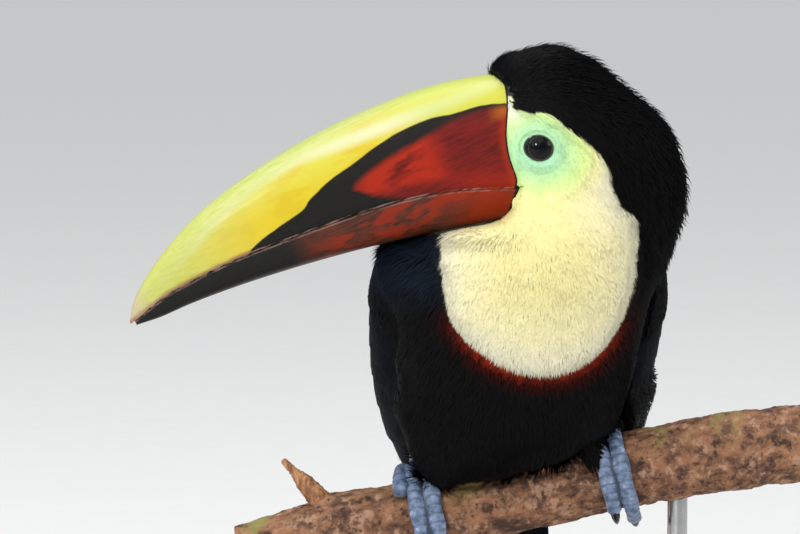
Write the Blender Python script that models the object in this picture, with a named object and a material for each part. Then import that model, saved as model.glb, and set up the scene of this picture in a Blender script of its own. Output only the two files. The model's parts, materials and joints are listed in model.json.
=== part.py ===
"""A yellow-throated toucan at life size, perched on a cut branch that a plain stand holds.

Metres, +Z up. The origin is the centre of the stand's underside. The trunk faces -Y,
and the head is turned to the bird's own right, so that the bill points to -X. The soft
body is modelled whole from rounded lumps, then parted into its regions by thin cuts.
"""

import math

import bmesh
import bpy
from mathutils import Matrix, Vector

MM = 0.001
GAP = 0.3 * MM  # clear space between any two touching pieces

# Stand and perch
BASE_LENGTH, BASE_DEPTH, BASE_THICK = 0.200, 0.150, 0.016
BASE_ROUND = 0.003
ROD_RADIUS = 0.004
ROD_APART = 0.132  # between the two rods, which stand clear of the feet
ROD_LET_IN = 0.006
COLLAR_RADIUS, COLLAR_HEIGHT = 0.009, 0.006
PERCH_HEIGHT = 0.165
PERCH_RADIUS = 0.015
PERCH_SLOPE = math.radians(12.5)
PERCH_LEFT, PERCH_RIGHT = 0.110, 0.125
PERCH_DROOP = 1.9  # 1/m, how fast the ends bend down
GRIP_HALF = 0.050  # the straight, round stretch that the feet hold
TWIG_PLACE = -0.070

# Head and bill
HEAD_ORIGIN = (-4.5, -14, 139.5)  # mm from the perch's axis: middle of the bill's base
HEAD_YAW = math.radians(10)  # the bill's turn towards -Y from straight along -X
BILL_PITCH = math.radians(24.0)
BILL_TIP = 159.5  # mm along the bill's axis
EYE_RADIUS = 8.5 * MM
EYE_PLACE = (-11.4, 17.6, 2.2)

# Body
BODY_GRAIN = 0.0050  # size of the facets of the soft body, before some are joined
FACETS_KEPT = 0.13
BODY_YAW = math.radians(6)  # the trunk's turn to the bird's left, away from the bill
BODY_SHIFT = 3  # mm, how far the wings and tail lie to the bird's left of the middle
WING_AXIS = ((-9, 99), (79, -37))  # mm, (y, z) of the ends of the wings' middle line
TAIL_ROOT = (0, 44, 28)  # mm, inside the rump
TAIL_PITCH = math.radians(57)
TAIL_LENGTH = 0.176

# Legs
FOOT_SPREAD = (-33.0, 41.0)  # mm along the perch, the bird's right foot and its left
TOE_RADIUS = 3.1 * MM
TARSUS_RADIUS = 3.7 * MM
FOOT_HALF_WIDTH = 8.5 * MM  # along the perch, of the space kept for each foot's toes

PERCH_AXIS = Vector((math.cos(PERCH_SLOPE), 0, math.sin(PERCH_SLOPE)))
PERCH_UP = Vector((-math.sin(PERCH_SLOPE), 0, math.cos(PERCH_SLOPE)))
FRONT = Vector((0, -1, 0))


def body_point(x, y, z):
    """A point given in millimetres from the middle of the perch's axis."""
    return Vector((x * MM, y * MM, z * MM + PERCH_HEIGHT))


def turned_point(x, y, z):
    """The same, for the wings and tail, which turn with the trunk."""
    c, s = math.cos(BODY_YAW), math.sin(BODY_YAW)
    return body_point(x * c - y * s + BODY_SHIFT, x * s + y * c, z)


def head_matrix():
    """Forward along the level heading of the bill, then to the bird's left, then up."""
    forward = Vector((-math.cos(HEAD_YAW), -math.sin(HEAD_YAW), 0))
    left = Vector((math.sin(HEAD_YAW), -math.cos(HEAD_YAW), 0))
    axes = Matrix((forward, left, Vector((0, 0, 1)))).transposed()
    return Matrix.Translation(body_point(*HEAD_ORIGIN)) @ axes.to_4x4()


def bill_matrix():
    return head_matrix() @ Matrix.Rotation(BILL_PITCH, 4, "Y")


def smooth_value(knots, x):
    """A smooth curve through (x, value) knots: cubic pieces with level-headed slopes."""
    if x <= knots[0][0]:
        return knots[0][1]
    if x >= knots[-1][0]:
        return knots[-1][1]
    i = max(k for k in range(len(knots) - 1) if knots[k][0] <= x)
    (x0, y0), (x1, y1) = knots[i], knots[i + 1]
    rise = (y1 - y0) / (x1 - x0)
    before = (y0 - knots[i - 1][1]) / (x0 - knots[i - 1][0]) if i else rise
    last = i + 2 >= len(knots)
    after = rise if last else (knots[i + 2][1] - y1) / (knots[i + 2][0] - x1)
    m0, m1 = (before + rise) / 2, (rise + after) / 2
    t = (x - x0) / (x1 - x0)
    stretch = x1 - x0
    return (
        (2 * t**3 - 3 * t**2 + 1) * y0
        + (t**3 - 2 * t**2 + t) * stretch * m0
        + (-2 * t**3 + 3 * t**2) * y1
        + (t**3 - t**2) * stretch * m1
    )


def material(name, colour, roughness, metallic=0.0):
    made = bpy.data.materials.new(name)
    made.use_nodes = True
    made.diffuse_color = (*colour, 1)
    shader = made.node_tree.nodes["Principled BSDF"]
    shader.inputs["Base Color"].default_value = (*colour, 1)
    shader.inputs["Roughness"].default_value = roughness
    shader.inputs["Metallic"].default_value = metallic
    return made


def add_object(name, bm, finish):
    """A named object from a bmesh, its faces turned outwards."""
    bmesh.ops.recalc_face_normals(bm, faces=bm.faces)
    mesh = bpy.data.meshes.new(name)
    bm.to_mesh(mesh)
    bm.free()
    mesh.materials.append(finish)
    made = bpy.data.objects.new(name, mesh)
    bpy.context.scene.collection.objects.link(made)
    return made


def cutter(name, bm):
    """A shape that only cuts others, and isn't a piece itself."""
    made = add_object(name, bm, FINISH["cutter"])
    made.hide_render = True
    made.display_type = "WIRE"
    return made


def cut(piece, *cutters):
    for shape in cutters:
        step = piece.modifiers.new("cut_" + shape.name, "BOOLEAN")
        step.operation = "DIFFERENCE"
        step.object = shape


def add_lump(bm, centre, radii, turn=None, segments=28, rings=16):
    """An ellipsoid of the radii given in millimetres, turned about its centre."""
    size = Matrix.Diagonal((*(r * MM for r in radii), 1))
    place = Matrix.Translation(centre) @ (turn or Matrix()) @ size
    bmesh.ops.create_uvsphere(
        bm, u_segments=segments, v_segments=rings, radius=1, matrix=place
    )


def loft(bm, rings):
    """Closed skin over rings of equal length. A ring of one point closes to a tip.
    The diagonals all run one way, so that a piece and its grown copy never cross."""
    made = [[bm.verts.new(p) for p in ring] for ring in rings]
    for first, second in zip(made, made[1:]):
        n = max(len(first), len(second))
        for k in range(n):
            j = (k + 1) % n
            if len(second) == 1:
                bm.faces.new((first[k], first[j], second[0]))
            elif len(first) == 1:
                bm.faces.new((first[0], second[j], second[k]))
            else:
                bm.faces.new((first[k], first[j], second[j], second[k]))
    bmesh.ops.triangulate(bm, faces=bm.faces, quad_method="FIXED")
    for end in (made[0], made[-1]):
        if len(end) > 2:
            bm.faces.new(end)


def tube(bm, path, radii, sides=10, up=Vector((0, 0, 1))):
    """A tube along path whose ends are flat. A path two points longer than radii runs on
    beyond both ends, and those points only set the directions of the end faces."""
    if len(path) == len(radii):
        path = [2 * path[0] - path[1], *path, 2 * path[-1] - path[-2]]
    rings = []
    for i, radius in enumerate(radii):
        along = (path[i + 2] - path[i]).normalized()
        side = along.cross(up).normalized()
        high = side.cross(along)
        turns = [2 * math.pi * k / sides for k in range(sides)]
        rings.append(
            [path[i + 1] + radius * (math.cos(a) * side + math.sin(a) * high) for a in turns]
        )
    loft(bm, rings)


def along_line(start, end, count):
    return [start.lerp(end, k / (count - 1)) for k in range(count)]


# The stand: an oval board and two upright rods in collars, let into the perch.


def oval(half_x, half_y, z, count=36, squareness=2.6):
    """A rounded oblong, between an ellipse and a rectangle."""
    ring = []
    for k in range(count):
        a = 2 * math.pi * k / count
        c, s = math.cos(a), math.sin(a)
        x = math.copysign(abs(c) ** (2 / squareness), c) * half_x
        y = math.copysign(abs(s) ** (2 / squareness), s) * half_y
        ring.append(Vector((x, y, z)))
    return ring


def perch_centre(t):
    """The perch's axis, straight where the feet hold it and drooping a little beyond."""
    beyond = max(0.0, abs(t) - GRIP_HALF)
    bow = -0.5 * PERCH_DROOP * beyond**2
    return Vector((0, 0, PERCH_HEIGHT)) + t * PERCH_AXIS + bow * PERCH_UP


COLLAR_PROFILE = (  # radius and height
    (ROD_RADIUS + GAP, 0),
    (COLLAR_RADIUS, 0),
    (COLLAR_RADIUS, 0.6 * COLLAR_HEIGHT),
    (0.75 * COLLAR_RADIUS, COLLAR_HEIGHT),
    (ROD_RADIUS + GAP, COLLAR_HEIGHT),
)


def turned_ring(bm, foot, profile, sides=16):
    """A ring turned from a closed profile about the upright axis through foot."""
    made = []
    for k in range(sides):
        a = 2 * math.pi * k / sides
        out = Vector((math.cos(a), math.sin(a), 0))
        made.append([bm.verts.new(foot + r * out + Vector((0, 0, h))) for r, h in profile])
    for first, second in zip(made, made[1:] + made[:1]):
        for k in range(len(profile)):
            j = (k + 1) % len(profile)
            bm.faces.new((first[k], first[j], second[j], second[k]))


def make_stand():
    """Returns the shapes that drill the perch for the rods."""
    bm = bmesh.new()
    half_x, half_y = BASE_LENGTH / 2, BASE_DEPTH / 2
    inset, top = BASE_ROUND, BASE_THICK
    loft(
        bm,
        [
            oval(half_x - inset / 2, half_y - inset / 2, 0),
            oval(half_x, half_y, inset / 2),
            oval(half_x, half_y, top - inset),
            oval(half_x - 0.3 * inset, half_y - 0.3 * inset, top - 0.3 * inset),
            oval(half_x - inset, half_y - inset, top),
        ],
    )
    add_object("stand_base", bm, FINISH["stand_wood"])

    sockets = []
    for name, x in (("a", -ROD_APART / 2), ("b", ROD_APART / 2)):
        foot = Vector((x, 0, BASE_THICK + GAP))
        bm = bmesh.new()
        turned_ring(bm, foot, COLLAR_PROFILE)
        add_object(f"stand_collar_{name}", bm, FINISH["steel"])
        middle = perch_centre(x / PERCH_AXIS.x)
        top = Vector((x, 0, middle.z - PERCH_RADIUS + ROD_LET_IN))
        y_axis = Vector((0, 1, 0))
        bm = bmesh.new()
        tube(bm, [foot, top], [ROD_RADIUS] * 2, 16, y_axis)
        add_object(f"stand_rod_{name}", bm, FINISH["steel"])
        bm = bmesh.new()
        tube(bm, [foot, top + Vector((0, 0, GAP))], [ROD_RADIUS + GAP] * 2, 16, y_axis)
        sockets.append(cutter(f"rod_socket_{name}", bm))
    return sockets


def perch_radius(t):
    """Round and even under the feet, with low swellings at old knots beyond them."""
    beyond = max(0.0, abs(t) - GRIP_HALF)
    knot = math.exp(-(((t - TWIG_PLACE) / 0.010) ** 2))
    knot += 0.7 * math.exp(-(((t - 0.092) / 0.012) ** 2))
    return PERCH_RADIUS * (1 + 0.10 * knot * min(1, beyond / 0.01))


def make_perch(rod_sockets):
    bm = bmesh.new()
    steps = 14
    spans = [-PERCH_LEFT + (PERCH_LEFT + PERCH_RIGHT) * k / steps for k in range(steps + 1)]
    centres = [perch_centre(t) for t in spans]
    tube(bm, centres, [perch_radius(t) for t in spans], 18)
    perch = add_object("perch_branch", bm, FINISH["bark"])
    cut(perch, *rod_sockets)

    bm = bmesh.new()
    knee = perch_centre(TWIG_PLACE) + 0.0235 * PERCH_UP - 0.009 * PERCH_AXIS
    foot = perch_centre(TWIG_PLACE) + 0.5 * perch_radius(TWIG_PLACE) * PERCH_UP
    tip = knee + 0.010 * PERCH_UP - 0.006 * PERCH_AXIS
    path = along_line(foot, knee, 4) + along_line(knee, tip, 4)[1:]
    thick = [0.0046, 0.0044, 0.0040, 0.0027, 0.0018, 0.0016, 0.0013]
    tube(bm, path, thick, 10, Vector((0, 1, 0)))
    twig = add_object("perch_twig", bm, FINISH["bark"])
    bm = bmesh.new()
    clear = [perch_radius(t) + GAP for t in spans]
    tube(bm, centres, clear, 18)
    perch_clear = cutter("perch_clear", bm)
    cut(twig, perch_clear)
    return perch_clear


# The bill: an upper and a lower half over one axis, parted along the biting edge.
# Heights are in millimetres from the axis, by distance from the bill's base.

BILL_TOP = [(-22, 23.0), (-8, 28.3), (8, 32.6), (23, 34.9), (40, 36.1), (57, 36.3)]
BILL_TOP += [(75, 35.2), (92, 33.0), (111, 29.2), (125, 24.6), (138, 18.4)]
BILL_TOP += [(148, 12.3), (155, 6.6), (BILL_TIP, 0.4)]
BILL_EDGE = [(-22, -24.0), (3, -13.6), (15, -8.4), (30, -3.0), (45, 0.6), (60, 2.8)]
BILL_EDGE += [(78, 4.4), (95, 5.6), (110, 6.4), (127, 6.0), (144, 4.2), (BILL_TIP, -0.4)]
BILL_UNDER = [(-22, -32.0), (11, -22.4), (26, -18.2), (57, -11.4), (78, -7.2)]
BILL_UNDER += [(99, -3.9), (120, -1.9), (136, -1.7), (148, -2.3), (157, -1.9)]
BILL_WIDE = [(-22, 22.5), (0, 21.5), (20, 20.0), (60, 17.0), (98, 13.2), (127, 9.6)]
BILL_WIDE += [(146, 6.0), (155, 3.4), (BILL_TIP, 0.9)]
EDGE_GAP = 0.35


def bill_stations(end, count):
    """Distances along the bill, closer together towards the blunt tip."""
    share = [k / count for k in range(count + 1)]
    return [-22 + (end + 22) * math.sin(math.pi / 2 * s) ** 0.92 for s in share]


def upper_ring(x, grow):
    """Section of the upper half: flat below, steep-sided, with a blunt ridge on top."""
    top = smooth_value(BILL_TOP, x) + grow
    edge = smooth_value(BILL_EDGE, x) - grow
    wide = smooth_value(BILL_WIDE, x) + grow
    ring = []
    for k in range(17):
        a = math.pi * k / 16
        c, s = math.cos(a), math.sin(a)
        across = math.copysign(abs(c) ** 0.80, c) * wide * (0.90 + 0.10 * s)
        ring.append(Vector((x * MM, across * MM, (edge + (top - edge) * s**0.86) * MM)))
    for share in (-0.5, 0.0, 0.5):
        ring.append(Vector((x * MM, share * 1.8 * wide * MM * 0.9, edge * MM)))
    return ring


def lower_ring(x, grow):
    """Section of the lower half: flat above, rounded and narrowing below."""
    edge = smooth_value(BILL_EDGE, x) - EDGE_GAP + grow
    under = smooth_value(BILL_UNDER, x) - grow
    wide = 0.90 * smooth_value(BILL_WIDE, x) + grow
    ring = []
    for k in range(13):
        a = math.pi * k / 12
        c, s = math.cos(a), math.sin(a)
        across = math.copysign(abs(c) ** 0.72, c) * wide
        ring.append(Vector((x * MM, across * MM, (edge - (edge - under) * s**0.9) * MM)))
    for share in (-0.5, 0.0, 0.5):
        ring.append(Vector((x * MM, share * 1.8 * wide * MM, edge * MM)))
    return ring


def keep_forward(bm, place, normal):
    """Cuts a bmesh by a plane, keeps the side that normal points to and closes it."""
    everything = bm.verts[:] + bm.edges[:] + bm.faces[:]
    made = bmesh.ops.bisect_plane(
        bm,
        geom=everything,
        plane_co=place,
        plane_no=normal,
        clear_inner=True,
        dist=1e-7,
    )
    rim = [e for e in made["geom_cut"] if isinstance(e, bmesh.types.BMEdge)]
    bmesh.ops.contextual_create(bm, geom=rim)


def tilted(forward_mm, up_mm, lean):
    """A point on the bill's base, and the forward normal of its slanted plane."""
    m = head_matrix()
    place = m @ Vector((forward_mm * MM, 0, up_mm * MM))
    normal = m.to_3x3() @ Vector((math.cos(lean), 0, math.sin(lean)))
    return place, normal


def make_bill():
    """The base's border runs back to the corner of the mouth from above and below."""
    m = bill_matrix()
    bm = bmesh.new()
    loft(bm, [upper_ring(x, 0) for x in bill_stations(BILL_TIP, 18)])
    bm.transform(m)
    keep_forward(bm, *tilted(0.3, 20, math.radians(-5.5)))
    add_object("bill_upper", bm, FINISH["bill"])

    bm = bmesh.new()
    loft(bm, [lower_ring(x, 0) for x in bill_stations(BILL_TIP - 2, 14)])
    bm.transform(m)
    keep_forward(bm, *tilted(0.0, -26, math.radians(20)))
    add_object("bill_lower", bm, FINISH["bill"])

    bm = bmesh.new()
    clear = GAP / MM
    loft(bm, [upper_ring(x, clear) for x in bill_stations(BILL_TIP, 18)])
    bm.transform(m)
    keep_forward(bm, *tilted(0.3 - clear, 20, math.radians(-5.5)))
    upper_clear = cutter("bill_upper_clear", bm)

    bm = bmesh.new()
    loft(bm, [lower_ring(x, clear) for x in bill_stations(BILL_TIP - 2, 14)])
    bm.transform(m)
    keep_forward(bm, *tilted(-clear, -26, math.radians(20)))
    lower_clear = cutter("bill_lower_clear", bm)
    return [upper_clear, lower_clear]


def make_face_cut():
    """Clears the space in front of the face, whose outline follows the bill's base."""
    corner = [(1.4, 26.2), (-3.4, -13.4), (-0.2, -22.0), (5.0, -36.0), (50, -36), (50, 26.2)]
    m = head_matrix()
    bm = bmesh.new()
    rings = [
        [m @ Vector(((x - 0.3) * MM, side * 45 * MM, z * MM)) for x, z in corner]
        for side in (-1, 1)
    ]
    loft(bm, rings)
    return cutter("face_cut", bm)


# The eyes: whole balls, most of each inside the head.


def make_eyes():
    m = head_matrix()
    clears = []
    for name, side in (("eye_left", 1), ("eye_right", -1)):
        x, y, z = EYE_PLACE
        centre = m @ Vector((x * MM, side * y * MM, z * MM))
        bm = bmesh.new()
        bmesh.ops.create_uvsphere(
            bm, u_segments=16, v_segments=8, radius=EYE_RADIUS,
            matrix=Matrix.Translation(centre),
        )
        add_object(name, bm, FINISH["eye"])
        bm = bmesh.new()
        bmesh.ops.create_uvsphere(
            bm, u_segments=16, v_segments=8, radius=EYE_RADIUS + 2 * GAP,
            matrix=Matrix.Translation(centre),
        )
        clears.append(cutter(name + "_clear", bm))
    return clears


# The wings: curved shells that wrap the sides of the trunk, from the bend of the wing at
# the shoulder to the tips, which lie over the root of the tail. Each crosswise section is
# a stretch of an ellipse, in angles up from the bird's side towards the back's middle.

WING_OUT = [(0, 48), (0.10, 56), (0.25, 59), (0.45, 56), (0.65, 45), (0.82, 30), (1, 17)]
WING_DEEP = [(0, 32), (0.10, 37), (0.25, 43), (0.45, 42.5), (0.65, 33), (0.82, 24), (1, 16)]
WING_LOW = [(0, -15), (0.10, -31), (0.25, -38), (0.45, -35), (0.7, -18), (0.88, 16), (1, 50)]
WING_HIGH = [(0, 30), (0.10, 46), (0.25, 60), (0.45, 72), (0.7, 77), (0.88, 78), (1, 74)]
WING_THICK = [(0, 3.5), (0.25, 7), (0.5, 7), (0.75, 4.5), (1, 2)]
WING_RIM = 0.7  # mm, least thickness, at the edges


def wing_ring(t, side, grow):
    (y0, z0), (y1, z1) = WING_AXIS
    along = Vector((0, y1 - y0, z1 - z0)).normalized()
    back = Vector((0, -along.z, along.y))
    middle = Vector((0, y0 + (y1 - y0) * t, z0 + (z1 - z0) * t))
    out, deep = smooth_value(WING_OUT, t), smooth_value(WING_DEEP, t)
    spare = math.degrees(grow / out)
    low, high = smooth_value(WING_LOW, t) - spare, smooth_value(WING_HIGH, t) + spare
    thick = smooth_value(WING_THICK, t)
    ring = []
    shares = [k / 6 for k in range(7)]
    for face, order in ((1, shares), (0, shares[::-1])):
        for share in order:
            a = math.radians(low + (high - low) * share)
            body = WING_RIM + (thick - WING_RIM) * math.sin(math.pi * share) ** 0.5
            inset = -grow if face else body + grow
            p = middle + (deep - inset) * math.sin(a) * back
            ring.append(turned_point(side * (out - inset) * math.cos(a), p.y, p.z))
    return ring


def make_wings():
    clears = []
    for name, side in (("wing_left", 1), ("wing_right", -1)):
        for grow in (0, GAP / MM):
            bm = bmesh.new()
            reach = grow / 150
            spans = [-reach, 0.05, 0.14, 0.28, 0.44, 0.60, 0.75, 0.89, 1 + reach]
            loft(bm, [wing_ring(t, side, grow) for t in spans])
            if grow:
                clears.append(cutter(name + "_clear", bm))
            else:
                add_object(name, bm, FINISH["black"])
    return clears


# The tail: one long, slightly arched fan of laid feathers.


def make_tail():
    root = turned_point(*TAIL_ROOT)
    turn = Matrix.Rotation(BODY_YAW, 3, "Z")
    along = turn @ Vector((0, math.cos(TAIL_PITCH), -math.sin(TAIL_PITCH)))
    top = turn @ Vector((0, math.sin(TAIL_PITCH), math.cos(TAIL_PITCH)))
    right = turn @ Vector((1, 0, 0))
    stations = [(0, 14, 4.5), (0.25, 18, 4.2), (0.5, 23, 3.6), (0.75, 27, 3.0)]
    stations += [(0.89, 27, 2.6), (0.96, 22, 2.2), (1.0, 12, 1.8)]
    for grow in (0, GAP):
        rings = []
        for share, half, thick in stations:
            centre = root + along * (share * (TAIL_LENGTH + 2 * grow) - grow)
            ring = []
            for k in range(14):
                a = 2 * math.pi * k / 14
                x = (half * MM + grow) * math.copysign(abs(math.cos(a)) ** 0.8, math.cos(a))
                rise = (thick / 2 * MM + grow) * math.sin(a) - 3.0 * x * x
                ring.append(centre + x * right + rise * top)
            rings.append(ring)
        bm = bmesh.new()
        loft(bm, rings)
        if grow:
            return cutter("tail_clear", bm)
        add_object("tail", bm, FINISH["black"])


# The legs: feathered thighs, scaled tarsi, and feet with two toes before, two behind.


def around_perch(t, angle, reach):
    """A point at a distance from the perch's axis, its angle counted from the front."""
    out = math.cos(angle) * FRONT + math.sin(angle) * PERCH_UP
    return Vector((0, 0, PERCH_HEIGHT)) + t * PERCH_AXIS + reach * out


def toe_path(t_root, t_tip, start, end, reach, count):
    """An arc round the perch, with one point more beyond each end."""
    shares = [k / (count - 1) for k in range(-1, count + 1)]
    return [
        around_perch((t_root + (t_tip - t_root) * s) * MM, start + (end - start) * s, reach)
        for s in shares
    ]


TOES = {  # name: offset along the perch at the root and at the tip, mm, first and last angle
    "front_inner": (-3.3, -2.4, 86, -36),
    "front_outer": (3.3, 4.8, 86, -72),
    "rear_inner": (-3.3, -4.8, 94, 158),
    "rear_outer": (3.3, 4.8, 94, 196),
}
CLAW_SWEEP = math.radians(34)
TARSUS_TOP = (0, 27, 45)  # mm from the foot's place on the perch


def make_legs():
    """Each leg in turn. Returns what the trunk has to be cut by."""
    clears = []
    for side_name, outward, place in (
        ("right", -1, FOOT_SPREAD[0]),
        ("left", 1, FOOT_SPREAD[1]),
    ):
        sole = around_perch(place * MM, math.pi / 2, PERCH_RADIUS + GAP + 4.4 * MM)
        heel = body_point(place + outward * 1.0, TARSUS_TOP[1], TARSUS_TOP[2])
        shin = along_line(sole + Vector((0, -0.004, -0.0005)), heel, 7)
        widths = [1.05, 1.25, 1.05, 0.95, 0.95, 1.0, 1.15]
        thigh_turn = Matrix.Rotation(math.radians(38), 4, "X")
        thigh_centre = body_point(place * 0.85, 20, 43)
        for grow, hidden in ((0, False), (GAP, True)):
            bm = bmesh.new()
            add_lump(
                bm, thigh_centre, [r + grow / MM for r in (13.5, 19, 15)], thigh_turn, 14, 9
            )
            thigh_name = f"thigh_{side_name}"
            if hidden:
                thigh_clear = cutter(thigh_name + "_clear", bm)
            else:
                thigh = add_object(thigh_name, bm, FINISH["black"])
            bm = bmesh.new()
            tube(bm, shin, [TARSUS_RADIUS * w + grow for w in widths], 10, PERCH_AXIS)
            if hidden:
                shin_clear = cutter(f"tarsus_{side_name}_clear", bm)
            else:
                tarsus = add_object(f"tarsus_{side_name}", bm, FINISH["blue"])
        bm = bmesh.new()
        reach = PERCH_RADIUS + GAP + 2 * TOE_RADIUS + GAP
        ends = [perch_centre(place * MM + k * FOOT_HALF_WIDTH) for k in (-1, 1)]
        tube(bm, ends, [reach] * 2, 18)
        foot_clear = cutter(f"foot_{side_name}_clear", bm)
        cut(tarsus, thigh_clear)
        cut(thigh, foot_clear)
        clears += [thigh_clear, shin_clear, foot_clear]
        for toe, (root, tip, start, end) in TOES.items():
            start, end = math.radians(start), math.radians(end)
            reach = PERCH_RADIUS + GAP + TOE_RADIUS
            t_root, t_tip = place + outward * root, place + outward * tip
            path = toe_path(t_root, t_tip, start, end, reach, 8)
            pads = [1.0, 0.98, 0.94, 1.0, 0.92, 0.97, 0.94, 0.74]
            bm = bmesh.new()
            tube(bm, path, [TOE_RADIUS * p for p in pads], 8, PERCH_AXIS)
            made = add_object(f"toe_{side_name}_{toe}", bm, FINISH["blue"])
            cut(made, shin_clear)
            turn = math.copysign(1, end - start)
            first = end + turn * (1.3 * GAP / reach)
            claw = toe_path(t_tip, t_tip, first, first + turn * CLAW_SWEEP, reach, 5)
            slim = [0.62, 0.60, 0.50, 0.34, 0.10]
            bm = bmesh.new()
            tube(bm, claw, [TOE_RADIUS * p for p in slim], 6, PERCH_AXIS)
            add_object(f"claw_{side_name}_{toe}", bm, FINISH["claw"])
    return clears


# The soft body: rounded lumps fused into one skin, then parted by planes.

BODY_LUMPS = (  # centre and radii in mm from the perch's axis, and forward lean in degrees
    ("breast", (2, -13, 80), (52, 41, 46), 10),
    ("crop", (2, -13, 60), (48, 39, 38), 0),
    ("belly", (2, -14, 44), (45, 34, 38), 0),
    ("throat", (9, -20, 94), (47, 37, 34), 0),
    ("nape", (26, -9, 118), (44, 30, 47), 0),
    ("mantle", (15, 5, 88), (46, 37, 44), 0),
)
HIND_LUMPS = (  # the same, in the trunk's own turned axes
    ("trunk", (0, 14, 62), (54, 40, 66), 33),
    ("rump", (0, 44, 20), (38, 28, 42), 33),
    ("tail_coverts", (0, 66, -8), (21, 9.5, 44), 33),
)
HEAD_LUMPS = (  # centre and radii, forward, left and up in mm from the bill's base
    ("skull", (-20, 0, 6), (32, 26, 35.5)),
    ("face", (-9, 0, 0), (21, 24, 27)),
    ("crown", (-8, 0, 22), (19, 17, 18.5)),
)
BODY_CUTS = (  # the plane below each region: a point and a normal, from the head down
    ("head", (0, -14, 112), (0.02, 0, 1)),
    ("neck", (0, -14, 84), (0.05, -0.25, 0.97)),
    ("trunk", (0, 44, 22), (0, -0.62, 0.78)),
    ("rump", None, None),
)


def fuse(bm):
    """One smooth skin over all the lumps of a bmesh."""
    whole = add_object("whole", bm, FINISH["black"])
    step = whole.modifiers.new("fuse", "REMESH")
    step.mode = "VOXEL"
    step.voxel_size = BODY_GRAIN
    soft = whole.modifiers.new("soften", "SMOOTH")
    soft.factor = 0.5
    soft.iterations = 8
    fewer = whole.modifiers.new("fewer", "DECIMATE")
    fewer.ratio = FACETS_KEPT
    graph = bpy.context.evaluated_depsgraph_get()
    mesh = bpy.data.meshes.new_from_object(whole.evaluated_get(graph))
    bpy.data.objects.remove(whole)
    return mesh


def make_body():
    """Fuses, parts and hollows the soft body for all that it touches."""
    bm = bmesh.new()
    for _, centre, radii, lean in BODY_LUMPS:
        tilt = Matrix.Rotation(-PERCH_SLOPE * (centre[2] < 50), 4, "Y")
        turn = tilt @ Matrix.Rotation(math.radians(lean), 4, "X")
        add_lump(bm, body_point(*centre), radii, turn)
    yaw = Matrix.Rotation(BODY_YAW, 4, "Z")
    for _, centre, radii, lean in HIND_LUMPS:
        turn = yaw @ Matrix.Rotation(math.radians(lean), 4, "X")
        add_lump(bm, turned_point(*centre), radii, turn)
    m = head_matrix()
    for _, centre, radii in HEAD_LUMPS:
        add_lump(bm, m @ (Vector(centre) * MM), radii, m.to_3x3().to_4x4())
    skin = fuse(bm)

    above = None
    pieces = {}
    for name, place, normal in BODY_CUTS:
        bm = bmesh.new()
        bm.from_mesh(skin)
        if above:
            keep_forward(bm, above[0] - above[1] * GAP / 2, -above[1])
        if place:
            normal = Vector(normal).normalized()
            above = (body_point(*place), normal)
            keep_forward(bm, above[0] + normal * GAP / 2, normal)
        pieces[name] = add_object(name, bm, FINISH["black"])
    bpy.data.meshes.remove(skin)
    cut(pieces["head"], face_cut, *eye_clears, *bill_clears)
    cut(pieces["neck"], *wing_clears, bill_clears[1])
    cut(pieces["trunk"], *wing_clears, *leg_clears, perch_clear, tail_clear)
    cut(pieces["rump"], *wing_clears, perch_clear, tail_clear)


def clear_scene():
    for old in list(bpy.data.objects):
        bpy.data.objects.remove(old)


clear_scene()
FINISH = {
    "black": material("black_feather", (0.012, 0.012, 0.014), 0.55),
    "bill": material("bill_horn", (0.80, 0.62, 0.10), 0.30),
    "eye": material("eye", (0.02, 0.015, 0.012), 0.08),
    "blue": material("blue_scale", (0.22, 0.34, 0.55), 0.50),
    "claw": material("claw_horn", (0.03, 0.03, 0.035), 0.40),
    "bark": material("bark", (0.25, 0.14, 0.09), 0.85),
    "stand_wood": material("stand_wood", (0.10, 0.06, 0.04), 0.45),
    "steel": material("steel", (0.60, 0.60, 0.60), 0.30, 1.0),
    "cutter": material("cutter", (0.8, 0.1, 0.1), 0.5),
}
perch_clear = make_perch(make_stand())
bill_clears = make_bill()
face_cut = make_face_cut()
eye_clears = make_eyes()
wing_clears = make_wings()
tail_clear = make_tail()
leg_clears = make_legs()
make_body()
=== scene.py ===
import json
from math import cos, pi, radians, sin

import bpy
import numpy as np
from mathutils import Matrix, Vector
from mathutils.bvhtree import BVHTree
from mathutils.kdtree import KDTree

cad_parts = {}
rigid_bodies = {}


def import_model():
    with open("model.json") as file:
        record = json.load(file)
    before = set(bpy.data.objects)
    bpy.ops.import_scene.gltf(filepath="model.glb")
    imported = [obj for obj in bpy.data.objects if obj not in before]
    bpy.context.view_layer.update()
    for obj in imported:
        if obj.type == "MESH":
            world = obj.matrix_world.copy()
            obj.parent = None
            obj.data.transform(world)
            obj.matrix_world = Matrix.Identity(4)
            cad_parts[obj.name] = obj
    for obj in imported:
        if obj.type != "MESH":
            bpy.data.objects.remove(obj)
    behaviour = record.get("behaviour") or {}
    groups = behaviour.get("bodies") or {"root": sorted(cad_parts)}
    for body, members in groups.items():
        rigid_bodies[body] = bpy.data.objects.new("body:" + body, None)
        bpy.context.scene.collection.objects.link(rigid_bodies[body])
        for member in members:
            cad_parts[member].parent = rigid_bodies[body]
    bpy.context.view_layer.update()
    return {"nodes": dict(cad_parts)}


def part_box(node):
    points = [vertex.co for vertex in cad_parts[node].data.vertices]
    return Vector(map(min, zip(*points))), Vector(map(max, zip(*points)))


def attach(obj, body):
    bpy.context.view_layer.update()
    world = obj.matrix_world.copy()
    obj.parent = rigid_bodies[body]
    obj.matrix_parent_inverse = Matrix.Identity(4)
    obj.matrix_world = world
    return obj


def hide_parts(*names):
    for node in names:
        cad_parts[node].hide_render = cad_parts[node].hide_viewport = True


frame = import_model()
chance = np.random.default_rng(20)


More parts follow.
